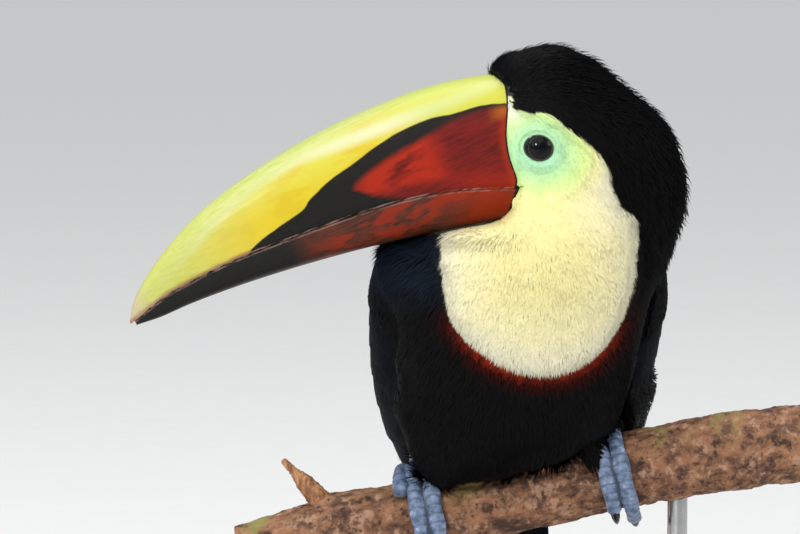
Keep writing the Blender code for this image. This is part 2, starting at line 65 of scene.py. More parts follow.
# The room: a plain pale floor, soft studio light from a large panel in front, a smaller one on each side
# and one above, and a camera a little above the bird's breast, looking level with its bill.
LOOK_AT = Vector((-0.0441, 0.0, 0.2564))
CAMERA_AWAY = 1.6
CAMERA_RISE = radians(7.0)
SEEN_WIDTH = 0.3152
FILM_WIDTH = 36.0


def new_finish(name, **sockets):
    finish = bpy.data.materials.new(name)
    finish.use_nodes = True
    shader = finish.node_tree.nodes["Principled BSDF"]
    for socket, value in sockets.items():
        shader.inputs[socket.replace("_", " ")].default_value = value
    return finish, finish.node_tree, shader


def add_node(tree, kind, inputs=None, **settings):
    node = tree.nodes.new(kind)
    for setting, value in settings.items():
        setattr(node, setting, value)
    for socket, value in (inputs or {}).items():
        if isinstance(value, bpy.types.NodeSocket):
            tree.links.new(value, node.inputs[socket])
        else:
            node.inputs[socket].default_value = value
    return node


def stretched(tree, place, stretch):
    return add_node(tree, "ShaderNodeMapping", {"Vector": place, "Scale": stretch}).outputs[0]


def place_of(tree, stretch=(1, 1, 1)):
    return stretched(tree, add_node(tree, "ShaderNodeTexCoord").outputs["Object"], stretch)


def noise(tree, place, scale, detail=4.0, roughness=0.55):
    inputs = {"Vector": place, "Scale": scale, "Detail": detail, "Roughness": roughness}
    return add_node(tree, "ShaderNodeTexNoise", inputs).outputs[0]


def sums(tree, operation, first, second=0.0, third=0.0):
    return add_node(tree, "ShaderNodeMath", {0: first, 1: second, 2: third}, operation=operation).outputs[0]


def times(tree, first, second):
    return sums(tree, "MULTIPLY", first, second)


def plus(tree, first, second):
    return sums(tree, "ADD", first, second)


def minus(tree, first, second):
    return sums(tree, "SUBTRACT", first, second)


def step(tree, value, low, high):
    inputs = {"Value": value, "From Min": low, "From Max": high}
    return add_node(tree, "ShaderNodeMapRange", inputs, interpolation_type="SMOOTHSTEP").outputs[0]


def between(tree, share, first, second, way="MIX"):
    mix = add_node(tree, "ShaderNodeMix", {0: share}, data_type="RGBA", blend_type=way)
    for socket, colour in ((6, first), (7, second)):
        if isinstance(colour, bpy.types.NodeSocket):
            tree.links.new(colour, mix.inputs[socket])
        else:
            mix.inputs[socket].default_value = (*colour, 1.0)
    return mix.outputs[2]


def wire(tree, shader, colour, rough=None, relief=None):
    """Wires up a colour, a roughness (texture, share, least) and a relief (texture, depth), where given."""
    tree.links.new(colour, shader.inputs["Base Color"])
    if rough:
        tree.links.new(sums(tree, "MULTIPLY_ADD", *rough), shader.inputs["Roughness"])
    if relief:
        inputs = {"Height": relief[0], "Distance": relief[1], "Strength": 1.0}
        tree.links.new(add_node(tree, "ShaderNodeBump", inputs).outputs[0], shader.inputs["Normal"])


bpy.ops.object.select_all(action="DESELECT")
bpy.ops.mesh.primitive_circle_add(vertices=96, radius=30.0, fill_type="NGON", location=(0, 0, 0))
floor = bpy.context.object
floor.name = "floor"
paper, tree, shader = new_finish("floor_paper", Roughness=0.7)
speck = noise(tree, place_of(tree), 60.0)
wire(tree, shader, between(tree, speck, (0.78, 0.78, 0.77), (0.82, 0.82, 0.81)))
floor.data.materials.append(paper)

world = bpy.data.worlds.new("room")
world.use_nodes = True
sky = world.node_tree.nodes["Background"]
sky.inputs["Color"].default_value = (0.93, 0.96, 1.0, 1.0)
sky.inputs["Strength"].default_value = 0.38
bpy.context.scene.world = world
bpy.context.scene.view_settings.view_transform = "Standard"

bpy.ops.object.light_add(type="SUN", rotation=(radians(38), 0, radians(-28)))
light = bpy.context.object
light.name = "wide_soft_light"
light.data.angle = radians(80)
light.data.energy = 1.45
for name, place, side, power, colour in (
    ("front_panel", (-0.62, -1.8, 1.15), 0.3, 15.0, (1.0, 0.98, 0.95)),
    ("left_panel", (-1.7, -0.3, 0.9), 0.8, 7.0, (0.96, 0.98, 1.0)),
    ("right_panel", (1.7, -0.6, 1.0), 0.8, 7.0, (1.0, 0.98, 0.96)),
    ("top_panel", (-0.05, 0.35, 1.9), 0.7, 13.0, (1.0, 1.0, 1.0)),
):
    away = LOOK_AT - Vector(place)
    bpy.ops.object.light_add(type="AREA", location=place, rotation=away.to_track_quat("-Z", "Y").to_euler())
    light = bpy.context.object
    light.name = name
    light.data.size = side
    light.data.energy = power
    light.data.color = colour

camera_place = LOOK_AT + CAMERA_AWAY * Vector((0, -cos(CAMERA_RISE), sin(CAMERA_RISE)))
bpy.ops.object.camera_add(location=camera_place, rotation=(pi / 2 - CAMERA_RISE, 0, 0))
camera = bpy.context.object
camera.data.sensor_width = FILM_WIDTH
camera.data.lens = FILM_WIDTH * CAMERA_AWAY / SEEN_WIDTH
bpy.context.scene.camera = camera


# The stand's board is a rounded oval of dark oiled hardwood. It is sawn out, rounded at the rim with a
# router and given one fine groove near the edge.
MM = 0.001
BOARD_SQUARENESS = 2.6
GROOVE_INSET = 0.008
GROOVE_DEEP = 0.0008
RIM_ROUND = 0.003
FLAT = 0.9  # a face whose outward way is more than this along an axis counts as square to it


def choose(*pieces):
    """Selects only these pieces, with the first one active."""
    bpy.ops.object.select_all(action="DESELECT")
    for piece in pieces:
        piece.select_set(True)
    bpy.context.view_layer.objects.active = pieces[0]


def finish_piece(piece, name, finish, stands_for, smooth=True):
    choose(piece)
    piece.name = name
    piece.data.name = name
    piece.data.materials.clear()
    piece.data.materials.append(finish)
    if smooth is True:
        bpy.ops.object.shade_smooth()
    elif smooth:
        bpy.ops.object.shade_smooth_by_angle(angle=smooth)
    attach(piece, "root")
    if stands_for:
        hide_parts(*stands_for)
    return piece


def points_of(piece):
    points = np.empty(len(piece.data.vertices) * 3, np.float32)
    piece.data.vertices.foreach_get("co", points)
    return points.reshape(-1, 3).astype(float)


def set_points(piece, points):
    piece.data.vertices.foreach_set("co", np.asarray(points, np.float32).ravel())
    piece.data.update()


def apply_modifier(piece, kind, **settings):
    modifier = piece.modifiers.new("shape", kind)
    for setting, value in settings.items():
        setattr(modifier, setting, value)
    bpy.context.view_layer.objects.active = piece
    bpy.ops.object.modifier_apply(modifier=modifier.name)


low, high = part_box("stand_base")
board_half = (high - low) / 2
bpy.ops.object.select_all(action="DESELECT")
bpy.ops.mesh.primitive_cylinder_add(vertices=160, radius=1.0, depth=2 * board_half.z, location=(0, 0, 0))
board = bpy.context.object
outline = points_of(board)
turn = np.arctan2(outline[:, 1], outline[:, 0])
for axis, wave, half in ((0, np.cos(turn), board_half.x), (1, np.sin(turn), board_half.y)):
    outline[:, axis] = np.sign(wave) * np.abs(wave) ** (2 / BOARD_SQUARENESS) * half
outline[:, 2] += board_half.z
set_points(board, outline)
for face in board.data.polygons:
    face.select = face.normal.z > FLAT
bpy.ops.object.mode_set(mode="EDIT")
bpy.ops.mesh.select_mode(type="FACE")
bpy.ops.mesh.inset(thickness=GROOVE_INSET, depth=0)
bpy.ops.mesh.inset(thickness=0.6 * GROOVE_DEEP, depth=-GROOVE_DEEP)
bpy.ops.mesh.inset(thickness=0.6 * GROOVE_DEEP, depth=GROOVE_DEEP)
bpy.ops.object.mode_set(mode="OBJECT")
apply_modifier(board, "BEVEL", width=RIM_ROUND, segments=5, limit_method="ANGLE", angle_limit=radians(75))

walnut, tree, shader = new_finish("oiled_walnut", Roughness=0.38)
drift = noise(tree, place_of(tree, (3, 12, 12)), 2.2, 3.0)
wave_inputs = {"Vector": place_of(tree, (1.2, 14, 14)), "Scale": 1.6, "Distortion": 5.0, "Detail": 3.0}
grain = add_node(tree, "ShaderNodeTexWave", wave_inputs, bands_direction="Y").outputs["Fac"]
pores = noise(tree, place_of(tree, (10, 260, 260)), 4.0, 5.0, 0.7)
wood = between(tree, grain, (0.055, 0.026, 0.013), (0.125, 0.064, 0.032))
wood = between(tree, step(tree, drift, 0.35, 0.7), wood, (0.09, 0.042, 0.02))
wood = between(tree, step(tree, pores, 0.52, 0.66), wood, (0.022, 0.011, 0.006))
wire(tree, shader, wood, (pores, 0.25, 0.27), (plus(tree, pores, grain), 0.00012))
finish_piece(board, "stand_board", walnut, ["stand_base"], smooth=radians(40))


# Two upright steel rods, drawn and brushed along their length, stand in low turned collars, each held by a
# small hexagon-socket grub screw, and run up into drilled holes in the perch.
ROD_BEVEL = 0.0005
COLLAR_BEVEL = 0.0011
COLLAR_GAP = 0.0006
COLLAR_SUNK, COLLAR_SLANT = 0.0008, 0.0001
SCREW_RADIUS = 0.0016
SCREW_LONG = 0.0012
SCREW_SUNK, SCREW_LOW = 0.0002, 0.0006
SCREW_BEVEL = 0.0001
SOCKET_RIM = 0.0007
SOCKET_DEEP, SOCKET_SLANT = 0.0009, 0.00005


def join(pieces):
    choose(*pieces)
    bpy.ops.object.join()
    return pieces[0]


def upright_bar(node, vertices):
    """A round bar that fills the solid's box, with its middle and radius."""
    low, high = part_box(node)
    middle, radius, long = (low + high) / 2, (high.x - low.x) / 2, high.z - low.z
    bpy.ops.object.select_all(action="DESELECT")
    bpy.ops.mesh.primitive_cylinder_add(vertices=vertices, radius=radius, depth=long, location=middle)
    bpy.ops.object.transform_apply(location=True)
    return bpy.context.object, middle, radius


def sink(piece, axis, sign, rim, fall, slant):
    """Sinks the face that looks along an axis: a flat rim, then a step down by fall in a steep wall."""
    for face in piece.data.polygons:
        face.select = sign * face.normal[axis] > FLAT
    bpy.ops.object.mode_set(mode="EDIT")
    bpy.ops.mesh.inset(thickness=rim, depth=0)
    bpy.ops.mesh.inset(thickness=slant, depth=-fall)
    bpy.ops.object.mode_set(mode="OBJECT")


steel, tree, shader = new_finish("brushed_steel", Metallic=1.0, Roughness=0.3)
brushed = noise(tree, place_of(tree, (900, 900, 14)), 1.0, 3.0)
smudge = noise(tree, place_of(tree), 90.0)
steel_colour = between(tree, smudge, (0.50, 0.50, 0.49), (0.66, 0.66, 0.65))
wire(tree, shader, steel_colour, (brushed, 0.22, times(tree, smudge, 0.3)), (brushed, 0.00003))

for side in "ab":
    rod, _, rod_radius = upright_bar(f"stand_rod_{side}", 48)
    apply_modifier(rod, "BEVEL", width=ROD_BEVEL, segments=3, limit_method="ANGLE")
    finish_piece(rod, f"rod_{side}", steel, [f"stand_rod_{side}"], smooth=radians(40))

    collar, middle, collar_radius = upright_bar(f"stand_collar_{side}", 64)
    sink(collar, 2, 1, collar_radius - rod_radius - COLLAR_GAP, COLLAR_SUNK, COLLAR_SLANT)
    apply_modifier(
        collar, "BEVEL", width=COLLAR_BEVEL, segments=4, limit_method="ANGLE", angle_limit=radians(60)
    )
    screw_place = middle + Vector((0, -collar_radius + SCREW_SUNK, -SCREW_LOW))
    bpy.ops.mesh.primitive_cylinder_add(
        vertices=24, radius=SCREW_RADIUS, depth=SCREW_LONG, location=screw_place, rotation=(pi / 2, 0, 0)
    )
    screw = bpy.context.object
    bpy.ops.object.transform_apply(location=True, rotation=True)
    sink(screw, 1, -1, SOCKET_RIM, SOCKET_DEEP, SOCKET_SLANT)
    apply_modifier(screw, "BEVEL", width=SCREW_BEVEL, segments=2, limit_method="ANGLE")
    collar = join([collar, screw])
    finish_piece(collar, f"collar_{side}", steel, [f"stand_collar_{side}"], smooth=radians(40))


# The perch is a living branch cut to a short length, sawn square at both ends, with rough flaking bark, two
# old knots and green algae on its upper side.
PERCH_HEIGHT = 0.165
PERCH_RADIUS = 0.015
PERCH_SLOPE = radians(12.5)
PERCH_LEFT = 0.110
PERCH_RIGHT = 0.125
PERCH_DROOP = 1.9
GRIP_HALF = 0.050
TWIG_PLACE = -0.070
OLD_KNOT = 0.092
PLATE_STRETCH = 0.55
SMOOTH_BEYOND = 0.008  # the bark stays smooth this far beyond the part that the feet hold
SAW_MARK_DEEP, SAW_MARKS = 0.00006, 9000
SAWN_SHARE = 0.04  # of the sheet's length, at each end, drawn in to the pith
PERCH_AXIS = np.array((cos(PERCH_SLOPE), 0, sin(PERCH_SLOPE)))
PERCH_UP = np.array((-sin(PERCH_SLOPE), 0, cos(PERCH_SLOPE)))
FRONT = np.array((0.0, -1.0, 0.0))
GRIP = np.array((0, 0, PERCH_HEIGHT))


def perch_centre(t):
    beyond = np.maximum(0, np.abs(t) - GRIP_HALF)
    bow = -0.5 * PERCH_DROOP * beyond**2
    return GRIP + np.multiply.outer(t, PERCH_AXIS) + np.multiply.outer(bow, PERCH_UP)


def perch_radius(t):
    beyond = np.clip((np.abs(t) - GRIP_HALF) / 0.01, 0, 1)
    knot = np.exp(-(((t - TWIG_PLACE) / 0.010) ** 2)) + 0.7 * np.exp(-(((t - OLD_KNOT) / 0.012) ** 2))
    return PERCH_RADIUS * (1 + 0.10 * knot * beyond)


def ripples(points, size, seed, count=12):
    """A smooth irregular field of about -1 to 1 whose swells are about size across."""
    draw = np.random.default_rng(seed)
    ways = draw.normal(size=(count, 3))
    ways *= (2 * pi / size * draw.uniform(0.6, 1.5, count) / np.linalg.norm(ways, axis=1))[:, None]
    swell = np.sin(points @ ways.T + draw.uniform(0, 2 * pi, count))
    return swell.sum(1) / np.sqrt(2 * count)


def smooth_step(value, low, high):
    share = np.clip((value - low) / (high - low), 0, 1)
    return share * share * (3 - 2 * share)


def close_up(piece):
    """Joins the edges that meet and turns every face outwards."""
    choose(piece)
    bpy.ops.object.mode_set(mode="EDIT")
    bpy.ops.mesh.select_all(action="SELECT")
    bpy.ops.mesh.remove_doubles(threshold=1e-6)
    bpy.ops.mesh.normals_make_consistent(inside=False)
    bpy.ops.object.mode_set(mode="OBJECT")


def wrapped_sheet(across, along, shape):
    """A flat grid wrapped into a closed shape: shape gives points for shares (0 to 1) across and along."""
    bpy.ops.object.select_all(action="DESELECT")
    bpy.ops.mesh.primitive_grid_add(x_subdivisions=across, y_subdivisions=along, size=1.0, location=(0, 0, 0))
    sheet = bpy.context.object
    flat = points_of(sheet)
    made = shape(flat[:, 0] + 0.5, flat[:, 1] + 0.5)
    values = {}
    if isinstance(made, tuple):
        made, values = made
    set_points(sheet, made)
    for name, value in values.items():
        write_value(sheet, name, value)
    close_up(sheet)
    return sheet


def write_value(piece, name, value):
    piece.data.attributes.new(name, "FLOAT", "POINT").data.foreach_set("value", np.asarray(value, np.float32))


def value_of(tree, name):
    return add_node(tree, "ShaderNodeAttribute", attribute_name=name).outputs["Fac"]


def bark_relief(points, smooth_grip):
    """How far the bark stands out from the branch: plates, pits and fine crumbs, in metres."""
    long_way = points - (1 - PLATE_STRETCH) * np.outer(points @ PERCH_AXIS, PERCH_AXIS)
    plates = np.abs(ripples(long_way, 0.011, 31))
    pits = np.maximum(0, ripples(long_way, 0.0055, 32) - 0.35)
    crumbs = ripples(points, 0.0022, 33)
    swell = ripples(points, 0.040, 34)
    relief = 0.0010 * (plates - 0.5) - 0.0011 * pits + 0.00022 * crumbs + 0.0006 * swell
    return np.where(smooth_grip, np.minimum(relief, 0.0002), relief)


def perch_shape(around, along):
    """The branch's round surface, whose sawn ends are its first and last rows, drawn in to the middle."""
    share = np.clip((along - SAWN_SHARE) / (1 - 2 * SAWN_SHARE), 0, 1)
    t = -PERCH_LEFT + (PERCH_LEFT + PERCH_RIGHT) * share
    shrink = np.clip(np.minimum(along, 1 - along) / SAWN_SHARE, 0, 1)
    turn = 2 * pi * around
    outward = np.outer(np.cos(turn), FRONT) + np.outer(np.sin(turn), PERCH_UP)
    base = perch_centre(t) + perch_radius(t)[:, None] * outward
    radius = (perch_radius(t) + bark_relief(base, np.abs(t) < GRIP_HALF + SMOOTH_BEYOND)) * shrink
    saw = SAW_MARK_DEEP * np.sin(radius * SAW_MARKS) * (shrink < 0.999)
    ends = np.where(along < 0.5, -1.0, 1.0) * saw
    points = perch_centre(t + ends) + radius[:, None] * outward
    values = {"sawn": 1.0 * (shrink < 0.93), "from_pith": radius, "top": outward[:, 2]}
    return points, values


perch = wrapped_sheet(170, 350, perch_shape)
bark, tree, shader = new_finish("branch_bark", Roughness=0.82)
place = place_of(tree)
mottle = noise(tree, place_of(tree, (0.6, 1, 1)), 190.0, 6.0, 0.65)
flecks = noise(tree, place, 420.0, 5.0, 0.6)
patches = noise(tree, place, 48.0, 4.0, 0.6)
fibres = noise(tree, place_of(tree, (1.1, 0.9, 0.9)), 190.0, 5.0, 0.65)
bark_colour = between(tree, step(tree, mottle, 0.36, 0.64), (0.060, 0.025, 0.014), (0.28, 0.125, 0.062))
for texture, low, high, share, tone in (
    (patches, 0.46, 0.62, 0.7, (0.34, 0.165, 0.075)),
    (fibres, 0.52, 0.66, 0.75, (0.43, 0.25, 0.155)),
    (fibres, 0.46, 0.34, 1.0, (0.040, 0.017, 0.010)),
    (flecks, 0.60, 0.74, 0.35, (0.50, 0.36, 0.28)),
    (flecks, 0.42, 0.30, 1.0, (0.045, 0.022, 0.014)),
):
    bark_colour = between(tree, times(tree, step(tree, texture, low, high), share), bark_colour, tone)
algae = times(tree, step(tree, patches, 0.52, 0.64), step(tree, value_of(tree, "top"), 0.1, 0.9))
bark_colour = between(tree, times(tree, algae, 0.75), bark_colour, (0.20, 0.205, 0.045))
rings = sums(tree, "SINE", times(tree, value_of(tree, "from_pith"), 5200.0))
pith = between(tree, step(tree, rings, -0.6, 0.9), (0.50, 0.36, 0.22), (0.62, 0.48, 0.32))
bark_colour = between(tree, value_of(tree, "sawn"), bark_colour, pith)
rough_bark = plus(tree, mottle, plus(tree, times(tree, flecks, 0.5), fibres))
wire(tree, shader, bark_colour, relief=(rough_bark, 0.0007))
finish_piece(perch, "branch", bark, ["perch_branch"])


# A dry side twig, snapped off short, grows out of the branch from a thick swollen foot. Its thin bark is
# creased along its length.
TWIG_RADII = (0.0075, 0.0046, 0.0034, 0.0018, 0.0013)
TWIG_KNEE = (0.0235, 0.009)  # metres above the branch's middle, and back along it
TWIG_TIP = (0.010, 0.006)  # the same, from the knee
ROUND_END = 0.04  # of the sheet's length, at each end, rounded over


def unit(ways):
    """Each way at length 1."""
    return ways / np.linalg.norm(ways, axis=1)[:, None]


def tube_shape(path, radii):
    """Wraps a sheet along a smooth line through path, round in section, with rounded ends."""
    path, radii = np.array(path, float), np.array(radii, float)

    def shape(around, along):
        share = np.clip((along - ROUND_END) / (1 - 2 * ROUND_END), 0, 1)
        knots = np.linspace(0, 1, len(path))
        behind, middle, ahead = (
            np.stack([smooth_curve(knots, path[:, k], np.clip(share + slip, 0, 1)) for k in range(3)], 1)
            for slip in (-0.01, 0, 0.01)
        )
        way = unit(ahead - behind)
        side = unit(np.cross(way, -FRONT))
        high = np.cross(side, way)
        radius = smooth_curve(knots, radii, share)
        cap = np.clip(np.minimum(along, 1 - along) / ROUND_END, 0, 1)
        round_off = np.sqrt(1 - (1 - cap) ** 2)
        push = np.where(along < 0.5, -1.0, 1.0) * (1 - cap) * radius * 0.6
        turn = 2 * pi * around
        out = np.cos(turn)[:, None] * side + np.sin(turn)[:, None] * high
        return middle + push[:, None] * way + (radius * round_off)[:, None] * out

    return shape


def smooth_curve(knots, heights, x):
    """A smooth curve through the knots, whose slope at each is the mean of its neighbours' slopes."""
    knots, heights = np.asarray(knots, float), np.asarray(heights, float)
    x = np.clip(x, knots[0], knots[-1])
    slopes = np.diff(heights) / np.diff(knots)
    tangents = np.concatenate(([slopes[0]], (slopes[1:] + slopes[:-1]) / 2, [slopes[-1]]))
    k = np.clip(np.searchsorted(knots, x) - 1, 0, len(knots) - 2)
    span = knots[k + 1] - knots[k]
    s = (x - knots[k]) / span
    rise = heights[k + 1] - heights[k]
    bend = (1 - s) * (span * tangents[k] - rise) - s * (span * tangents[k + 1] - rise)
    return heights[k] + s * rise + s * (1 - s) * bend


def normals_of(piece):
    normals = np.empty(len(piece.data.vertices) * 3, np.float32)
    piece.data.vertices.foreach_get("normal", normals)
    return normals.reshape(-1, 3).astype(float)


twig_foot = perch_centre(TWIG_PLACE) + 0.45 * PERCH_RADIUS * PERCH_UP
twig_knee = perch_centre(TWIG_PLACE) + TWIG_KNEE[0] * PERCH_UP - TWIG_KNEE[1] * PERCH_AXIS
twig_tip = twig_knee + TWIG_TIP[0] * PERCH_UP - TWIG_TIP[1] * PERCH_AXIS
twig_path = [twig_foot, 0.5 * (twig_foot + twig_knee), twig_knee, 0.5 * (twig_knee + twig_tip), twig_tip]
twig = wrapped_sheet(40, 90, tube_shape(twig_path, TWIG_RADII))
points = points_of(twig)
creases = np.abs(ripples(points * (1, 1, 0.35), 0.003, 41)) - 0.5
relief = 0.00035 * creases + 0.0002 * ripples(points, 0.0012, 42)
set_points(twig, points + normals_of(twig) * relief[:, None])
dry_bark, tree, shader = new_finish("dry_twig_bark", Roughness=0.75)
streaks = noise(tree, place_of(tree, (1, 1, 0.35)), 600.0, 4.0)
blotches = noise(tree, place_of(tree), 150.0, 4.0)
dry = between(tree, step(tree, streaks, 0.35, 0.7), (0.20, 0.078, 0.032), (0.50, 0.25, 0.11))
dry = between(tree, step(tree, blotches, 0.55, 0.75), dry, (0.09, 0.04, 0.022))
wire(tree, shader, dry, relief=(streaks, 0.0003))
finish_piece(twig, "twig", dry_bark, ["perch_twig"])


# One skin covers the head, neck, trunk, rump, thighs and feet without a seam. It lies under the plumage by
# the coat's depth, comes to the surface on the bare face, and folds into a ringed lid round each eye.
HEAD_PLACE = np.array((-4.5, -14, PERCH_HEIGHT / MM + 139.5)) * MM
HEAD_YAW = radians(10)
HEAD_WAYS = np.array(  # forward, left and up
    ((-cos(HEAD_YAW), -sin(HEAD_YAW), 0), (sin(HEAD_YAW), -cos(HEAD_YAW), 0), (0, 0, 1))
)
EYE_RADIUS = 8.5
EYE_PLACE = np.array((-10.7, 17.6, 2.0))
LID_FORWARD = 0.5
LID_REACH = 4.9
LID_LONG, LID_HIGH = 1.075, 0.94
SKIN_GRAIN = 0.0015
LUMP_SWELL = 0.0004  # thickens the lumps a little, so that neighbours melt together
SIDES = {"left": 1, "right": -1}
TOE_NAMES = [f"{end}_{edge}" for end in ("front", "rear") for edge in ("inner", "outer")]
FLESH = ["head", "neck", "trunk", "rump"]
for side in SIDES:
    FLESH += [f"thigh_{side}", f"tarsus_{side}"] + [f"toe_{side}_{toe}" for toe in TOE_NAMES]


def from_grip(points):
    """Millimetres to the left, back and up from the middle of the perch."""
    return (points - GRIP) / MM


def distance_from(points, place):
    return np.linalg.norm(points - np.array(place), axis=1)


def head_axes(points):
    """Forward, left and up from the middle of the bill's base, in millimetres."""
    return (points - HEAD_PLACE) @ HEAD_WAYS.T / MM


def from_head_axes(axes):
    return HEAD_PLACE + np.asarray(axes) * MM @ HEAD_WAYS


def around_eye(axes, side):
    """Distances from an eye's middle, in millimetres: back-and-forth, up-and-down, and outwards."""
    aim = np.array((0.10, side * 1.0, 0.05))
    aim /= np.linalg.norm(aim)
    level = np.cross((0, 0, 1), aim)
    level /= np.linalg.norm(level)
    high = np.cross(aim, level)
    away = axes - EYE_PLACE * (1, side, 1)
    return away @ level * side, away @ high, away @ aim, level * side, high, aim


def lid_reach(level, high):
    """Distance from the eye's middle in units of the lid's slightly slanting oval edge."""
    tilt = radians(14)
    level = level + LID_FORWARD
    long_way, short_way = level * cos(tilt) - high * sin(tilt), level * sin(tilt) + high * cos(tilt)
    return np.hypot(long_way / LID_LONG, short_way / LID_HIGH)


lumps = []
for node in FLESH + ["eye_left", "eye_right"]:
    lump = bpy.data.objects.new("lump", frame["nodes"][node].data.copy())
    bpy.context.scene.collection.objects.link(lump)
    close_up(lump)
    apply_modifier(lump, "DISPLACE", strength=LUMP_SWELL, mid_level=0.0)
    lumps.append(lump)
skin = join(lumps)
apply_modifier(skin, "REMESH", mode="VOXEL", voxel_size=SKIN_GRAIN)


def relax(piece, share, rounds):
    """Evens out a mesh: each point moves towards the mean of its neighbours, by its own share."""
    count = len(piece.data.vertices)
    ends = np.empty(len(piece.data.edges) * 2, np.int32)
    piece.data.edges.foreach_get("vertices", ends)
    first, second = ends[::2], ends[1::2]
    near = np.bincount(first, minlength=count) + np.bincount(second, minlength=count)
    points = points_of(piece)
    for _ in range(rounds):
        for axis in range(3):
            total = np.bincount(first, points[second, axis], count)
            total += np.bincount(second, points[first, axis], count)
            points[:, axis] += share * (total / near - points[:, axis])
    set_points(piece, points)


FOOT_SPREAD = {"right": -0.033, "left": 0.041}
SHIN_FOOT, SHIN_AHEAD = PERCH_RADIUS + 0.0047, 0.004
HEEL = np.array((0, 27, 45)) * MM


def shin_line(side):
    """A shin's foot, and its way from there to the heel, both from the middle of the perch."""
    place = FOOT_SPREAD[side]
    foot = place * PERCH_AXIS + SHIN_FOOT * PERCH_UP + SHIN_AHEAD * FRONT
    return foot, HEEL + (place + SIDES[side] * MM, 0, 0) - foot


def on_legs(points):
    """1 on the bare tarsus and toes, 0 on the body above them."""
    away = points - GRIP
    along = away @ PERCH_AXIS
    from_perch = np.linalg.norm(away - np.outer(along, PERCH_AXIS), axis=1)
    bare = np.zeros(len(points))
    for side, place in FOOT_SPREAD.items():
        toes = smooth_step(np.abs(along - place), 0.0100, 0.0085) * smooth_step(from_perch, 0.0235, 0.0222)
        foot, shin = shin_line(side)
        share = np.clip((away - foot) @ shin / (shin @ shin), 0, 1)
        from_shin = np.linalg.norm(away - foot - np.outer(share, shin), axis=1)
        bare = np.maximum(bare, np.maximum(toes, smooth_step(from_shin, 0.0068, 0.0056) * (share < 0.8)))
    return bare


relax(skin, 0.5 * (1 - 0.8 * on_legs(points_of(skin))), 10)


def edit_points(piece, chosen):
    """Enters edit mode with only the chosen points selected."""
    choose(piece)
    bpy.ops.object.mode_set(mode="EDIT")
    bpy.ops.mesh.select_mode(type="VERT")
    bpy.ops.mesh.select_all(action="DESELECT")
    bpy.ops.object.mode_set(mode="OBJECT")
    piece.data.vertices.foreach_set("select", chosen)
    bpy.ops.object.mode_set(mode="EDIT")


def keep_body(piece):
    """Deletes every loose scrap but the body that holds the crown's highest point."""
    highest = points_of(piece)[:, 2]
    edit_points(piece, highest >= highest.max())
    bpy.ops.mesh.select_linked()
    bpy.ops.mesh.select_all(action="INVERT")
    bpy.ops.mesh.delete(type="VERT")
    bpy.ops.object.mode_set(mode="OBJECT")


keep_body(skin)

# The plumage's outlines, in millimetres from the perch's axis as seen from the front: the light bib and face
# inside the first, and the red band below it.
BIB_OUTLINE = (  # across and up, from the forehead down the bird's left side and back up its right
    (-6, 161), (-1.2, 160.5), (0.2, 156.6), (4.5, 155.2), (7.5, 154.3), (11, 154.4), (15.5, 153.2),
    (20, 148.6), (24.8, 145.6), (29.8, 141), (34.6, 136.4), (37.0, 131), (37.2, 127), (39.2, 122.5),
    (41.6, 118), (46.6, 114), (48, 107.6), (47.8, 101.8), (46.5, 90), (44.6, 82), (41.3, 73),
    (35, 64.5), (26.5, 58.5), (15, 55), (3, 56), (-9, 61), (-18.5, 68), (-24.5, 75.5), (-27.4, 87),
    (-28.6, 98), (-29, 108), (-33, 118), (-40, 130), (-40, 161),
)


def smooth_outline(corners, finer=6):
    """The closed outline through the corners, rounded by a curve."""
    corners = np.array(corners, float)
    count = len(corners)
    knots = np.arange(-3, count + 3)
    loop = corners[knots % count]
    fine = np.arange(count * finer) / finer
    return np.stack([smooth_curve(knots, loop[:, k], fine) for k in range(2)], 1)


def depth_inside(flat, outline):
    """How far each flat point lies inside a closed outline, negative outside it."""
    nearest = np.full(len(flat), 1e9)
    inside = np.zeros(len(flat), bool)
    for (x0, y0), (x1, y1) in zip(outline, np.roll(outline, -1, 0)):
        way = np.array((x1 - x0, y1 - y0))
        share = np.clip(((flat - (x0, y0)) @ way) / (way @ way + 1e-12), 0, 1)
        off_x, off_y = flat[:, 0] - x0 - share * way[0], flat[:, 1] - y0 - share * way[1]
        nearest = np.minimum(nearest, np.hypot(off_x, off_y))
        crosses = (y0 > flat[:, 1]) != (y1 > flat[:, 1])
        at = x0 + (flat[:, 1] - y0) * (x1 - x0) / (y1 - y0 + 1e-12)
        inside ^= crosses & (flat[:, 0] < at)
    return np.where(inside, nearest, -nearest)


bib_outline = smooth_outline(BIB_OUTLINE)


def light_depth(points):
    """Depth inside the light face and bib, in millimetres, on either side of the head."""
    axes = head_axes(points)
    up, perch_up = points[:, 2] / MM, PERCH_HEIGHT / MM
    far = smooth_step(axes[:, 1], 3.0, -3.0) * smooth_step(up, perch_up + 96, perch_up + 104)
    front = from_grip(points)
    near_depth = depth_inside(front[:, (0, 2)], bib_outline)
    near_depth = np.minimum(near_depth, -6 - front[:, 1])
    mirrored = from_grip(from_head_axes(axes * (1, -1, 1)))
    far_depth = depth_inside(mirrored[:, (0, 2)], bib_outline)
    below = np.clip(126 - front[:, 2], 0, 40)
    far_depth = np.minimum(far_depth, axes[:, 0] + 46 - 1.3 * below)
    return near_depth * (1 - far) + far_depth * far


FACE_BACK, FACE_LOW = 9.5, 0.5  # the face's middle lies this far behind and below that of the bill's base


def face_reach(axes, ahead, behind, over, under):
    """Distance from the face's middle in units of an oval with these four half sizes, in millimetres."""
    level, high = axes[:, 0] + FACE_BACK, axes[:, 2] + FACE_LOW
    return np.hypot(level / np.where(level < 0, behind, ahead), high / np.where(high < 0, under, over))


